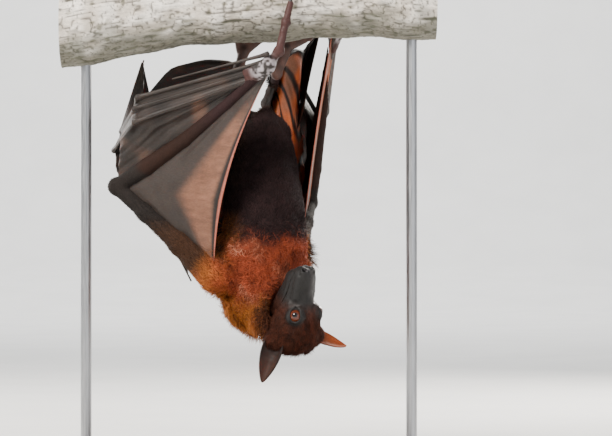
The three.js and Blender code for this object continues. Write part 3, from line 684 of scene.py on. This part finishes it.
def head_form():
    """The head in its own frame: along the nose, towards the crown, towards the right ear."""
    form = Form((-30, -44, -34), (74, 30, 34), CELL["head"])
    cut, at = form.near(P(-24, -36, -32), P(73, 26, 32))
    a, c, s = at[..., 0], at[..., 1], at[..., 2]
    stations = [(row[0], row[1], row[2], row[3] - row[2], row[4] + row[2]) for row in SKULL]
    skull = loft(a, s, c, stations, 3.2 - 2.4 * step(5, 34, a))
    form.blend(cut, np.maximum(skull, np.maximum(HEAD_ENDS[0] - a, a - HEAD_ENDS[1])), 2)
    form.chain([P(14, -25, 0), P(50, -17, 0), P(61, -10.5, 0)], [10.5, 7.2, 4.2], 6)  # the lower jaw
    form.ball(P(-3, -8, -19), 9, 6)  # the roots of the ears
    form.ball(P(0, 3, 18), 8, 5)
    for hand in (-1, 1):
        eye, gaze = EYE * [1, 1, hand], unit(GAZE * [1, 1, hand])
        along = unit(P(1, -0.25, 0) - gaze * (P(1, -0.25, 0) @ gaze))
        corner = eye + gaze * 3.4 + along * 6.2

        def rod(a, b, *rest):
            form.bone(P(*a) * [1, 1, hand], P(*b) * [1, 1, hand], *rest)

        form.ball(P(4, -9, 16.5 * hand), (15, 10, 6.5), 6)  # cheek
        rod((15, 12, 9.5), (31, 7.5, 8.5), 3.0, 1.8, 5)  # brow
        rod((17, 0, 15), (32, -3.5, 13), 2.6, 1.5, 5)  # cheekbone
        form.ball(eye + gaze * 0.4, LIDS, 5)  # lids, and the opening between them
        form.ball(eye + gaze * 6.2, OPENING, 0.8, -1, axes=[along, np.cross(gaze, along), gaze])
        form.bone(corner, corner + along * 2.0 - gaze * 0.8, 0.7, 0.3, 0.8, -1)
        rod((40, -1.5, 8.5), (58, -3, 7), 3.4, 3.2, 4)  # side of the snout
        form.ball(P(63.2, -2.2, 4.4 * hand), (4.6, 4.4, 3.9), 2.2)  # nostril, its hole and its slit
        rod((70.5, -0.8, 6.4), (60.5, -1.8, 3.6), 2.3, 1.4, 0.9, -1)
        rod((66, -4.4, 8.6), (60.5, -2, 8.2), 0.8, 0.4, 1.2, -1)
    form.bone(P(69.5, 1.0, 0), P(60, 3.6, 0), 1.0, 0.4, 1.6, -1)  # grooves of the nose and of the lip
    form.bone(P(69.5, -2, 0), P(66, -11.5, 0), 0.9, 0.5, 1.2, -1)
    cut, at = form.near(P(18, -30, -20), P(74, 6, 20))
    a, c, s = at[..., 0], at[..., 1], at[..., 2]
    value = form.value[cut]
    lips = -10.2 - 0.075 * (64 - a) - 1.6 * step(44, 28, a) + 0.6 * np.sin(a * 0.22)
    value = value - 0.75 * np.exp(-((c - lips - 1.9) / 1.5) ** 2) * step(26, 34, a)
    value = value + 0.5 * np.exp(-((c - lips + 1.6) / 1.6) ** 2) * step(30, 44, a)
    slit = np.maximum(np.abs(c - lips) - 0.5, np.maximum(-value - 2.4, 29 - a))
    share = np.clip(0.5 + 0.5 * (-value - slit) / 0.5, 0, 1)
    opened = -value * (1 - share) + slit * share - 0.5 * share * (1 - share)
    form.value[cut] = np.where(slit < 3, -opened, value)
    return form


def hand_form(side):
    wrist = side["wrist"]
    points = [wrist] + side["thumb"]
    low, high = np.min(points + [wrist - 14], axis=0) - 14, np.max(points + [wrist + 14], axis=0) + 12
    form = Form(low, high, CELL["hand"])
    back = unit(side["elbow"] - wrist)
    form.chain([wrist - back * 4, wrist + back * 5, wrist + back * 22], [7.6, 7.2, 3.8], 3)
    form.chain(points, [4.3, 3.7, 3.3, 2.8], 3)
    form.ball(points[2], 4.3, 2)
    form.ball(points[1], 5.0, 2)
    for number in (2, 3, 5):
        form.bone(wrist, wrist + unit(side[f"finger{number}"][0] - wrist) * 18, 4.6, 2.2, 3)
    return form


def foot_form(side):
    ankle, x = side["ankle"], side["ankle"][0]
    heel, middle = x + side["turn"] * TOE["instep"], x + side["turn"]
    instep = on_perch(heel, 30, 51)
    low, high = np.minimum(ankle, instep) - P(36, 26, 16), np.maximum(ankle, instep) + P(40, 40, 52)
    form = Form(low, high, CELL["foot"])
    shin = unit(side["knee"] - ankle)
    form.chain([ankle + shin * 14, ankle, instep], [3.2, 4.2, 5.4], 3)
    form.ball(ankle, 4.8, 2)
    for toe in TOES:
        path = [on_perch(heel + toe * 2.2, 30, 50)] + [
            on_perch(middle + toe * (TOE["spread"] + degrees * TOE["splay"]), degrees, TOE["lie"])
            for degrees in np.linspace(TOE["start"], TOE["end"], 4)]
        form.chain(path, [2.8, 2.6, 2.4, 2.35, 2.2], 1.6)
        for joint in (2, 3):
            out = unit(path[joint] - perch_centre(path[joint][0]))
            form.ball(path[joint] + out * 0.5, 2.9, 1)
    return form


skin = Pile()


def add_form(places, quads, kind, paint):
    """Adds a form to the skin, and returns it with its normals for the coat."""
    skin.add(places, [quads], kind, paint(places))
    return places, quads, normals_of(places, quads)


def roughened(form, *waves):
    """A form's skin with noise in its height; each wave is a size, a seed and a height."""
    places, quads = form.skin()
    height = sum(noise(places / size, seed) * high for size, seed, high in waves)
    return places + normals_of(places, quads) * height[:, None], quads


body_roots = add_form(*body_form().skin(), FUR_SKIN, body_colour)
head_places, head_quads = roughened(head_form(), (2.2, 21, 0.12), (5, 22, 0.25))
head_roots = add_form(from_head(head_places), head_quads, NAKED_SKIN, head_colour)
for side in SIDES.values():
    add_form(*roughened(hand_form(side), (1.6, 31, 0.25), (3.5, 32, 0.3)), NAKED_SKIN, hand_colour(side))
    add_form(*roughened(foot_form(side), (1.8, 33, 0.15)), NAKED_SKIN, foot_colour)


# ---- fingers
def finger_root(side, number):
    return side["wrist"] + (side[f"finger{number}"][0] - side["finger4"][0]) * 0.6


def finger_bones(side, number):
    if number == 2:
        return [2 * finger_root(side, 3) - side["wrist"], side["finger2"][0]]
    return [finger_root(side, number)] + side[f"finger{number}"]


def add_finger(side, number):
    bones = finger_bones(side, number)
    t = np.linspace(0, 1, 26)
    for i in range(len(bones) - 1):
        last = i == len(bones) - 2
        ends = np.exp(-(t / 0.05) ** 2) + (not last) * np.exp(-((1 - t) / 0.05) ** 2)
        thick = 2.0 * (1 - 0.22 * np.sin(math.pi * t)) + 0.75 * ends
        if last:
            thick = thick * (1 - 0.62 * t)
        corners, faces = tube(between(bones[i], bones[i + 1], t[:, None]), thick)
        skin.add(corners, faces, WEB, mix(WING * 1.25, WING * 0.8, step(-0.4, 0.5, noise(corners / 8, 41))))


for side in SIDES.values():
    for number in (2, 3, 4, 5):
        add_finger(side, number)


# ---- wing skin
def through(points, fraction):
    """The place at a fraction of the way along the points, with the same share for each step."""
    points = np.array(points)
    scaled = np.clip(fraction, 0, 1) * (len(points) - 1)
    piece = np.clip(scaled.astype(int), 0, len(points) - 2)
    part = (scaled - piece)[..., None]
    return points[piece] * (1 - part) + points[piece + 1] * part


def soft_through(points, fraction):
    """Through the given points, with its corners eased."""
    total = 0
    for shift, weight in ((-0.035, 0.25), (0, 0.5), (0.035, 0.25)):
        total = total + weight * through(points, fraction + shift)
    return total


def bezier(points, t):
    a, b, c = points
    t = t[..., None]
    return a * (1 - t) ** 2 + 2 * b * t * (1 - t) + c * t * t


def web(edge_a, edge_b, along, across, paint, sag=P(0, 0, 0), pleats=(), seed=0, fold=0.9, both=True):
    """A sheet between two edges, thicker at the bone on edge_b, or on both. Pleats are the count and
    height of folds that run along the edges; fold is the height of the small creases."""
    def place(u, v):
        full = np.sin(math.pi * v) * np.sqrt(np.clip(np.sin(math.pi * np.clip(0.02 + 0.96 * u, 0, 1)), 0, 1))
        a, b = edge_a(u), edge_b(u)
        flat = a + (b - a) * v[..., None] + sag * full[..., None]
        du, dv = np.gradient(flat, axis=0), np.gradient(flat, axis=1)
        out = unit(np.cross(du, dv))
        size = np.linalg.norm(b - a, axis=-1)
        room = np.clip(size / 30, 0, 1)
        lift = 0
        for count, height in pleats:
            phase = 2 * math.pi * count * (v + 0.12 * np.sin(3.1 * u + count)) + 5 * u
            lift = lift + height * np.sin(phase) * np.clip(np.sin(math.pi * v), 0, 1)
        stretched = np.stack([u * 3 + seed, v * 9, u * v * 4], -1).reshape(-1, 3)
        crease = noise(stretched, seed).reshape(u.shape) * fold * np.clip(4 * v * (1 - v), 0, 1)
        return flat + out * ((lift + crease) * room)[..., None]

    def half(u, v):
        gap = np.linalg.norm(edge_b(u) - edge_a(u), axis=-1)
        bone = BONE_RIM * np.exp(-((1 - v) * gap / RIM_REACH) ** 2)
        if both:
            bone = bone + BONE_RIM * np.exp(-(v * gap / RIM_REACH) ** 2)
        return MEMBRANE / 2 + np.clip(bone, 0, BONE_RIM) * np.clip(gap / 8, 0, 1)

    scale = 1
    corners, faces, u, v = sheet(place, int(along * scale), int(across * scale), half)
    skin.add(corners, faces, WEB, paint(corners, u, v))


def plain_wing(points, u, v):
    tone = mix(WING, WING * 0.55, step(-0.5, 0.6, noise(points / 16, 51)))
    return mix(tone, WING_WARM, step(0.2, 0.9, noise(points / 22, 52)) * 0.35)


def front_wing(points, u, v):
    """The front skin of the arm: a thin red rim that is a painted rim highlight, a dark band, a warm band of
    painted sunlight through the skin, then grey brown.
    """
    tone = mix(WING, WING * 1.25, step(-0.5, 0.7, noise(points * [0.02, 0.02, 0.08], 53)))
    # painted light: a warm band where sunlight shines through the skin
    band = step(0.05, 0.12, v) * step(0.5, 0.3, v) * step(0.08, 0.28, u) * step(1.02, 0.8, u)
    tone = mix(tone, WING_WARM * (1 + 0.25 * noise(points * [0.12, 0.12, 0.5], 54)[:, None]), 0.85 * band)
    tone = mix(tone, WING * 0.45, step(0.08, 0.05, v) * step(0.012, 0.03, v))
    # painted rim highlight along the leading edge
    return mix(tone, RIM_HIGHLIGHT, step(0.03, 0.012, v))


def glowing_wing(points, u, v):
    """Thin skin with painted light behind it: an orange painted glow between dark folds of painted shade that
    fan out, and a painted rim highlight along the sheet's first edge.
    """
    folds = np.sin(v * 31 + 2.2 * np.sin(4 * u)) * 0.5 + 0.5
    tone = mix(WING_GLOW, WING_WARM, step(-0.3, 0.6, noise(points / 12, 55)))
    # painted shade in the dark folds
    tone = mix(tone, WING * 0.5, step(0.62, 0.95, folds))
    # painted rim highlight along the sheet's first edge
    return mix(tone, RIM_HIGHLIGHT * 0.8, step(0.04, 0.0, v))


def add_wing(side):
    """The skins before the arm, between the fingers, behind the forearm, along the body and at the leg."""
    left = side["hand"] < 0
    shoulder, elbow, hip, knee, ankle = (side[key] for key in ("shoulder", "elbow", "hip", "knee", "ankle"))

    def arm_bones(u):
        fore = forearm_at(side, np.clip(0.97 - 0.97 * u / 0.6, 0, 1))
        upper = between(elbow, shoulder, np.clip((u - 0.6) / 0.4, 0, 1)[..., None])
        return np.where((u < 0.6)[..., None], fore, upper)

    web(lambda u: bezier(side["leading"], u), arm_bones, 110, 60, front_wing if left else glowing_wing,
        sag=BELLY * (2.5 if left else -1.0), seed=1, fold=0.7, both=False)
    for first in (3, 4):
        one, two = finger_bones(side, first), finger_bones(side, first + 1)
        web(lambda u: soft_through(one, 0.04 + 0.955 * u), lambda u: soft_through(two, 0.04 + 0.955 * u),
            90, 26, plain_wing, pleats=((1.5, 0.9), (3, 0.4)), seed=first, fold=0.8)

    root, knuckle, middle, tip = finger_bones(side, 5)
    behind = [between(root, knuckle, 0.05), knuckle, between(knuckle, middle, 0.6)]
    web(lambda u: forearm_at(side, 0.96 - 0.96 * u), lambda u: through(behind, u), 100, 36, plain_wing,
        sag=BELLY * -3, pleats=((2.5, 0.8), (6, 0.3)), seed=7, fold=0.8)

    def flank(index, share):
        x, y, z, width, _, back = TRUNK[index]
        return P(x, y, z) + ACROSS * side["hand"] * width * share - BELLY * back * 0.35

    on_leg = between(hip, ankle, 0.3) if left else knee
    inner = [between(elbow, shoulder, 0.02), between(shoulder, elbow, 0.4),
             flank(3, 0.7), flank(5, 0.75), flank(7, 0.6),
             on_leg, between(on_leg, ankle, 0.6), between(ankle, on_leg, 0.04)]
    far, mid, close = side["trailing"]
    outer = [between(middle, tip, 0.03), between(middle, tip, 0.5), tip, far, mid, close,
             between(close, ankle, 0.5), between(ankle, close, 0.22)]
    web(lambda u: soft_through(inner, u), lambda u: soft_through(outer, u), 130, 60,
        plain_wing if left else glowing_wing, sag=BELLY * (-15 if left else -5),
        pleats=((3, 1.1), (8, 0.35)), seed=9, fold=1.0, both=False)

    rump = P(*TRUNK[-1][:3])
    leg = [between(ankle, knee, 0.22), knee, hip]
    free = [between(ankle, knee, 0.28), between(rump, between(knee, ankle, 0.35), 0.45), rump]
    web(lambda u: through(leg, u), lambda u: bezier(free, u), 40, 16, plain_wing,
        seed=11, fold=0.5, both=False)


for side in SIDES.values():
    add_wing(side)


# ---- ears
def add_ear(side):
    base, way, crosswise = side["ear"]
    root = from_head(base)
    along = unit(way)
    sideways = unit(crosswise - along * (crosswise @ along))
    back = np.cross(along, sideways)
    if back @ NOSE > 0:
        back = -back

    def place(u, v):
        across = 2 * v - 1
        half = EAR["width"] * np.clip(1 - u ** 1.8, 0.002, 1) ** 0.72 * (0.84 + 0.55 * u * (1 - u))
        cup = EAR["cup"] * (1 - across ** 2) * (1 - u * u) * (1 + 0.25 * np.sin(9 * u) * np.abs(across))
        ridge = 0.35 * np.sin(26 * u) * step(0.9, 0.2, np.abs(across)) * step(0.75, 0.3, u)
        return (root + along * (EAR["length"] * (u - EAR["sunk"]))[..., None]
                + sideways * (half * across)[..., None] + back * (cup + ridge)[..., None])

    def half(u, v):
        rim = np.exp(-((1 - np.abs(2 * v - 1)) / 0.12) ** 2)
        return EAR["thickness"] / 2 * (0.75 + 0.3 * rim)

    corners, faces, u, v = sheet(place, 44, 28, half)
    inside = np.arange(len(u)) < len(u) / 2
    edge = step(0.85, 1.0, np.abs(2 * v - 1))
    # painted glow: the ear is painted orange towards its tip, as if lit from behind; the next lines darken
    # the left ear almost wholly
    tint = mix(EAR_GLOW, HEAD_FUR * 0.7, step(0.75, 0.2, u) * 0.6)
    tint = mix(tint, MUZZLE * 0.7, 0.92 * (side["hand"] < 0) + 0.06 * edge)
    tint = mix(tint, HEAD_FUR, 0.4 * inside)
    skin.add(corners, faces, EAR_SKIN, tint)


for side in SIDES.values():
    add_ear(side)

skin_piece = skin.build("skin", skin_materials)
flesh = ["head", "trunk", "neck"]
for name in SIDES:
    flesh += [f"{part}_{name}" for part in (
        "ear", "upper_arm", "hand", "forearm", "thumb", "thigh", "shank", "foot", "finger_2", "finger_3",
        "finger_4", "finger_5", "arm_membrane", "outer_side_membrane", "inner_side_membrane",
        "finger_membrane_3_4", "finger_membrane_4_5", "leg_membrane")]
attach(skin_piece, "root")
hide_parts(*flesh)


# ---- eyes
def add_eye(name, side):
    hand, rows, columns = side["hand"], 28, 36
    gaze, centre = unit(GAZE * [1, 1, hand]), EYE * [1, 1, hand]
    sideways = unit(np.cross(gaze, P(0, 1, 0)))
    other = np.cross(gaze, sideways)
    tilt, spin = np.meshgrid(np.linspace(0, math.pi, rows + 2)[1:-1],
                             np.linspace(0, 2 * math.pi, columns, endpoint=False), indexing="ij")
    radius = EYE_RADIUS * EYE_FIT * (1 + CORNEA * np.exp(-(tilt / 0.5) ** 2))
    ring = np.cos(spin)[..., None] * sideways + np.sin(spin)[..., None] * other
    ball = (np.cos(tilt)[..., None] * gaze + np.sin(tilt)[..., None] * ring) * radius[..., None]
    places = np.vstack([ball.reshape(-1, 3), gaze * EYE_RADIUS * 1.03, -gaze * EYE_RADIUS]) + centre
    count = rows * columns
    faces = [turned(grid(rows, columns)), fan(0, columns, count),
             turned(fan(count - columns, columns, count + 1))]
    angle = np.concatenate([tilt.ravel(), [0, math.pi]])
    streak = 0.5 + 0.5 * np.sin(np.concatenate([spin.ravel(), [0, 0]]) * 17)
    tint = mix(PUPIL, mix(IRIS_DARK, IRIS, streak * 0.5), step(0.33, 0.40, angle))
    pile = Pile()
    pile.add(from_head(places), faces, 0, mix(tint, EYE_RIM, step(0.95, 1.1, angle)))
    piece = pile.build(f"eyeball_{name}", [eye_material])
    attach(piece, "root")
    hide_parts(f"eye_{name}")


for name, side in SIDES.items():
    add_eye(name, side)


# ---- claws
def add_claw(pile, path, radii, dark, pale):
    """A curved claw; dark and pale are the distances from its tip where it stops being dark and is pale."""
    line = bezier(np.array(path), np.linspace(0, 1, 16))
    corners, faces = tube(line, np.interp(np.linspace(0, 1, 16), [0, 0.5, 1], radii), 10, flat=0.72)
    away = np.linalg.norm(corners - path[2], axis=1)
    pile.add(corners, faces, 0, mix(CLAW_PALE, CLAW_DARK, step(dark, pale, away)))


for name, side in SIDES.items():
    pile = Pile()
    add_claw(pile, side["claw"], (2.7, 2.1, 0.35), 4, 16)
    piece = pile.build(f"thumb_hook_{name}", [horn])
    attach(piece, "root")
    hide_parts(f"thumb_claw_{name}")

    pile = Pile()
    middle = side["ankle"][0] + side["turn"]
    for toe in TOES:
        root_x = middle + toe * (TOE["spread"] + TOE["end"] * TOE["splay"])
        tip_x = middle + toe * TOE["claw_spread"]
        add_claw(pile, [on_perch(root_x, TOE["end"] - 3, TOE["lie"]),
                        on_perch((root_x + tip_x) / 2, TOE["end"] + 10, TOE["lie"] + 3.4),
                        on_perch(tip_x, TOE["claw_end"], TOE["lie"] - 2.6)], (2.1, 1.6, 0.35), 3, 12)
    piece = pile.build(f"toe_claws_{name}", [horn])
    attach(piece, "root")


# ---- perch and stand
def add_end(pile, rim, flip):
    """The sawn end inside a ring of corners, with growth rings."""
    rings, middle = 14, rim.mean(0)
    share = np.linspace(1, 0, rings, endpoint=False)[:, None, None]
    disc = middle + (rim - middle) * share
    radius = np.linalg.norm(disc - middle, axis=-1)
    disc[..., 0] += (-1 if flip else 1) * 0.25 * np.sin(radius * 1.7) * (share[..., 0] < 0.95)
    count = len(rim)
    faces = [grid(rings, count), fan((rings - 1) * count, count, rings * count)]
    wood = mix(WOOD_PALE, WOOD, 0.5 + 0.5 * np.sin(radius.ravel() * 2.6))
    wood = mix(wood, BARK_EDGE, step(34, 37, radius.ravel()))
    if flip:
        faces = [turned(face) for face in faces]
    pile.add(np.vstack([disc.reshape(-1, 3), middle[None]]), faces, 0, np.vstack([wood, WOOD[None]]))


def add_perch():
    rows, columns = ((400, 210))
    half, radius = PERCH["half"], PERCH["radius"]
    x, degrees = np.meshgrid(np.linspace(-half, half, rows), np.linspace(0, 360, columns, endpoint=False),
                             indexing="ij")
    girth = radius * (1 + 0.03 * np.sin(x * 0.045 + 1) - 0.02 * np.cos(x * 0.11))
    girth = girth * (1 + 0.02 * np.sin(np.radians(3 * degrees) + x * 0.03))
    angle = np.radians(degrees.ravel())
    out = np.stack([0 * angle, np.sin(angle), -np.cos(angle)], -1)
    round_at = np.stack([x.ravel(), radius * np.sin(angle), radius * np.cos(angle)], -1)
    plates = noise(round_at / [14, 8, 8], 61)
    cracks = np.exp(-(noise(round_at / [9, 3.4, 3.4], 62) / 0.10) ** 2)
    grain = noise(round_at / [5, 1.4, 1.4], 63)
    speck = noise(round_at / 1.7, 64)
    deep = cracks * step(-0.4, 0.4, noise(round_at / 20, 65))
    height = 0.7 * plates - 1.2 * deep + 0.35 * grain + 0.2 * speck
    corners = perch_centre(x.ravel()) + out * (girth.ravel() - 0.5 + height)[:, None]
    tone = mix(BARK_GREY, BARK_PALE, step(-0.5, 0.6, plates))
    tone = mix(tone, LICHEN, step(0.35, 0.75, noise(round_at / [7, 4, 4], 66)) * 0.85)
    tone = mix(tone, CRACK, np.clip(cracks * 0.8, 0, 1))
    tone = mix(tone, SPECK, step(0.45, 0.7, speck) * 0.7)
    # painted shade: the branch is painted darker green-grey underneath
    below = step(0.15, 0.85, np.cos(angle) + 0.25 * noise(round_at / 12, 67))
    pile = Pile()
    pile.add(corners, [turned(grid(rows, columns))], 0, mix(tone, UNDERSIDE_SHADE, below * 0.8))
    add_end(pile, corners[:columns], False)
    add_end(pile, corners[-columns:], True)
    piece = pile.build("branch", [bark])
    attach(piece, "root")
    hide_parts("perch")


add_perch()
for node_name, item in (("stand_base", board), ("stand_rod_left", steel), ("stand_rod_right", steel)):
    materials = bpy.data.objects[node_name].data.materials
    materials.clear()
    materials.append(item)


# ---- coat
UP = P(0, 0, 1)
FULL, STOUT = ((1.0, 1.0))
PATCH = 0.003  # a tuft's width on the unwrap
SHADE = (0.28, 1.2)  # painted shade and light along a tuft: its brightness at its root, darkened as in shade, and what its tip adds, lightened as if lit


def sample(surface, count, weight):
    """Roots spread over a surface, more of them where the weight is high."""
    places, quads, flat = surface
    a, b, c, d = (places[quads[:, i]] for i in range(4))
    area = 0.5 * np.linalg.norm(np.cross(c - a, d - b), axis=1)
    chance = area * weight((a + b + c + d) / 4)
    total = chance.sum()
    pick = np.searchsorted(np.cumsum(chance) / total, (np.arange(count) + rng.random(count)) / count)
    pick = np.clip(pick, 0, len(quads) - 1)
    s, t = rng.random((2, count, 1))
    corner = [places[quads[pick, i]] for i in range(4)]
    slope = [flat[quads[pick, i]] for i in range(4)]
    share = [(1 - s) * (1 - t), s * (1 - t), s * t, (1 - s) * t]
    return sum(w * x for w, x in zip(share, corner)), unit(sum(w * x for w, x in zip(share, slope)))


def tufts(name, at, normal, way, length, width, lift, droop, colours, unwrap, rings, curl, sink=0.8):
    """Curved three-sided tufts in one mesh; each has its own small patch on the unwrap."""
    count = len(at)
    way = unit(way - normal * (way * normal).sum(1, keepdims=True))
    side = np.cross(normal, way)
    length, width, lift, droop = (np.broadcast_to(np.asarray(v, float), (count,))[:, None]
                                  for v in (length, width, lift, droop))
    stations = [0, 0.55] if rings == 2 else [0, 0.4, 0.75]
    bend = curl * rng.normal(size=(count, 1))
    twist = curl * rng.normal(size=(count, 1))

    def centre(t):
        rise = np.sin(lift) * t - droop * t * t
        return (at - normal * sink + way * length * np.cos(lift) * t + normal * length * rise
                + side * length * (bend * t * t + twist * t * (1 - t) * 2))

    turn = rng.random((count, 1)) * 2 * math.pi
    corners = []
    for t in stations:
        wide = width * (1 - t) ** 0.7 / 2
        for k in range(3):
            angle = turn + 2 * math.pi * k / 3
            corners.append(centre(t) + side * wide * np.cos(angle) + normal * 0.6 * wide * np.sin(angle))
    corners.append(centre(1.0))
    each = len(corners)
    pattern = [(2, 1, 0)]
    for row in range(0, each - 4, 3):
        for a, b in ((row, row + 1), (row + 1, row + 2), (row + 2, row)):
            pattern += [(a, b, b + 3), (a, b + 3, a + 3)]
    pattern += [(each - 4 + k, each - 4 + (k + 1) % 3, each - 1) for k in range(3)]
    faces = (np.array(pattern)[None] + each * np.arange(count)[:, None, None]).reshape(-1, 3)
    tip = np.append(np.repeat(stations, 3), 1)
    # painted shade at each tuft's root, and painted light towards its tip
    shade = (SHADE[0] + SHADE[1] * tip)[None, :, None] * colours[:, None, :]
    across = np.tile([-0.5, 0, 0.5], rings + 1)[:each]
    patch = unwrap(at)[:, None, :] + PATCH * np.stack([across, tip - 0.5], -1)[None]
    pile = Pile()
    pile.add(np.stack(corners, 1).reshape(-1, 3), [faces], 0, shade.reshape(-1, 3))
    piece = pile.build(name, [coat_material], patch.reshape(-1, 2))
    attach(piece, "root")


def unwrapped(x, y, along):
    """A place on the unwrap from the way round an axis and the share along it."""
    turn = np.arctan2(x, y) / (2 * math.pi) + 0.5
    return np.stack([0.01 + 0.98 * turn, 0.01 + 0.98 * np.clip(along, 0, 1)], -1)


def round_trunk(points):
    """The unwrap of the trunk and neck: round the long axis, and along it."""
    off = off_axis(points)
    return unwrapped(off @ ACROSS, off @ BELLY, (points[:, 2] - 110) / 240)


def round_head(points):
    a, c, s = in_head(points).T
    return unwrapped(s, c + 5, (a + 32) / 104)


def round_bone(start, end):
    way = unit(end - start)
    one = unit(np.cross(way, P(0, 0.3, 1)))
    two = np.cross(way, one)
    span = np.linalg.norm(end - start)
    return lambda points: unwrapped((points - start) @ one, (points - start) @ two,
                                    (points - start) @ way / span * 0.8 + 0.1)


def varied(colours, at, amount=0.25, seed=70):
    """Colours made lighter and darker from place to place and from tuft to tuft."""
    tone = 1 + amount * noise(at / 3.2, seed) + 0.16 * rng.normal(size=len(at))
    return np.clip(colours * tone[:, None], 0.002, 1)


def zone(kind):
    """The part of the body's skin that a coat piece grows on."""
    def weight(points):
        z, front = points[:, 2], step(-0.12, 0.12, front_of(points))
        chest, mantle = step(236, 224, z), step(226, 206, z)
        parts = {"chest": front * chest, "belly": front * (1 - chest) * step(336, 330, z),
                 "mantle": (1 - front) * mantle, "back": (1 - front) * (1 - mantle)}
        return (1 - on_limb(points)) * parts[kind] + 1e-9
    return weight


def swirl(at, scale, seed):
    return np.stack([noise(at / scale, seed), noise(at / scale, seed + 1), noise(at / scale, seed + 2)], -1)


def grow_body(kind, count, flow, length, width, lift, droop, curl, rings=2, swirled=0.3):
    """A coat piece over one part of the body; flow gives the fur's way from the way out."""
    count = int(count * FULL)
    at, normal = sample(body_roots, count, zone(kind))
    radial = unit(off_axis(at) * [1, 1, 0])
    way = flow(radial) + swirled * swirl(at, 7, 80) + 0.4 * rng.normal(size=at.shape)
    size = length * (0.85 + 0.3 * rng.random(count)) * (1 + 0.15 * noise(at / 8, 84))
    raised = lift * (1 + 0.35 * noise(at / 6, 85))
    tufts(f"coat_{kind}", at, normal, way, size, width * STOUT, raised, droop,
          varied(body_colour(at), at, 0.4), round_trunk, rings, curl)


grow_body("mantle", 12300, lambda out: out * 0.5 - UP * 0.75,
          length=15.5, width=1.0, lift=0.6, droop=0.12, curl=0.16, rings=3, swirled=0.5)
grow_body("chest", 12300, lambda out: -UP * 0.45 + out * 0.1,
          length=9.5, width=0.95, lift=0.62, droop=0.3, curl=0.45, rings=3, swirled=1.15)
grow_body("belly", 15000, lambda out: UP, length=6.5, width=0.8, lift=0.42, droop=0.06, curl=0.15)
grow_body("back", 17000, lambda out: UP, length=8.0, width=0.85, lift=0.4, droop=0.06, curl=0.12)


def grow_head(count):
    def weight(points):
        a = in_head(points).T[0]
        return (0.25 + step(44, 20, a)) * step(62, 44, a) * step(7.6, 9.2, eye_gap(points)) + 1e-9

    at, normal = sample(head_roots, count, weight)
    a, c, s = in_head(at).T
    back = -NOSE + 0.25 * EAR_WAY * np.sign(s)[:, None] * step(12, 0, a)[:, None]
    way = back + 0.2 * swirl(at, 6, 90) + 0.18 * rng.normal(size=at.shape)
    size = (1.7 + 2.6 * step(36, 8, a) + 3.4 * step(4, -14, a)) * (0.75 + 0.5 * rng.random(count))
    wide = (0.42 + 0.4 * step(30, -8, a)) * STOUT
    tone = mix(head_colour(at), BROW * 1.5, 0.4 * rng.random(count) ** 2 * step(42, 30, a))
    tufts("coat_head", at, normal, way, size, wide, 0.42 + 0.2 * step(4, -14, a), 0.05,
          varied(tone, at, 0.6, 91), round_head, 2, 0.15, sink=0.3)


grow_head(int(19000 * FULL))


def grow_limb(name, start, end, count, reach, length, width, paint):
    """Short fur along a limb, thinner and sparser towards its end."""
    def weight(points):
        t, gap = share_along(points, start, end)
        return (step(reach, reach * 0.75, gap) * on_limb(points) * step(-0.08, 0.05, t) * (1 - 0.7 * t)
                + 1e-9)

    at, normal = sample(body_roots, count, weight)
    t, gap = share_along(at, start, end)
    way = unit(end - start) + 0.2 * swirl(at, 6, 95) + 0.2 * rng.normal(size=at.shape)
    size = length * (1 - 0.6 * t) * (0.8 + 0.4 * rng.random(count))
    tufts(name, at, normal, way, size, width * STOUT, 0.42, 0.06,
          varied(paint(at), at), round_bone(start, end), 2, 0.15, sink=0.5)


def arm_colour(side):
    def paint(points):
        t, _ = share_along(points, side["shoulder"], side["elbow"])
        return mix(body_colour(points), limb_colour(points), step(0.25, 0.7, t))
    return paint


for name, side in SIDES.items():
    grow_limb(f"coat_arm_{name}", side["shoulder"], side["elbow"], int(7000 * FULL), 26, 6.5, 0.6,
              arm_colour(side))
    grow_limb(f"coat_leg_{name}", side["hip"], side["knee"], int(3500 * FULL), 17, 4.5, 0.55, limb_colour)


# ---- floor and light
def add_floor():
    """A floor that curves up into a backdrop."""
    rows = [(-8.0, 0.0), (4.6, 0.0), (5.5, 0.1), (6.1, 0.45), (6.5, 1.2), (6.6, 2.2), (6.6, 8.0)]
    corners = [(x, y, z) for y, z in rows for x in (-9.0, 9.0)]
    mesh = bpy.data.meshes.new("floor")
    mesh.from_pydata(corners, [], grid(len(rows), 2, closed=False).tolist())
    for face in mesh.polygons:
        face.use_smooth = True
    mesh.materials.append(floor_material)
    link("floor", mesh)


add_floor()


def area_light(name, at, target, size, power, tint):
    data = bpy.data.lights.new(name, "AREA")
    data.shape, data.size, data.energy, data.color = "SQUARE", size, power, tint
    lamp = link(name, data)
    way = unit(np.array(target) - np.array(at))
    lamp.location = at
    lamp.rotation_euler = (math.acos(-way[2]), 0, math.atan2(-way[0], way[1]))


CENTRE = (0.0, 0.0, 0.27)
area_light("key", (-0.9, -1.3, 1.5), CENTRE, 0.6, 70, (1.0, 0.96, 0.9))
area_light("fill", (1.6, -1.6, 0.6), CENTRE, 1.6, 10, (0.92, 0.96, 1.0))
area_light("rim", (0.7, 1.1, 0.9), CENTRE, 0.7, 40, (1.0, 0.95, 0.88))
area_light("rim_left", (-1.2, 0.9, 0.5), CENTRE, 0.7, 20, (1.0, 0.97, 0.93))
area_light("backdrop", (0.0, 3.6, 3.6), (0.0, 6.4, 0.6), 2.4, 260, (1, 1, 1))

world = bpy.data.worlds.new("studio")
world.use_nodes = True
world.node_tree.nodes["Background"].inputs["Color"].default_value = (0.86, 0.9, 0.94, 1)
world.node_tree.nodes["Background"].inputs["Strength"].default_value = 0.75
bpy.context.scene.world = world
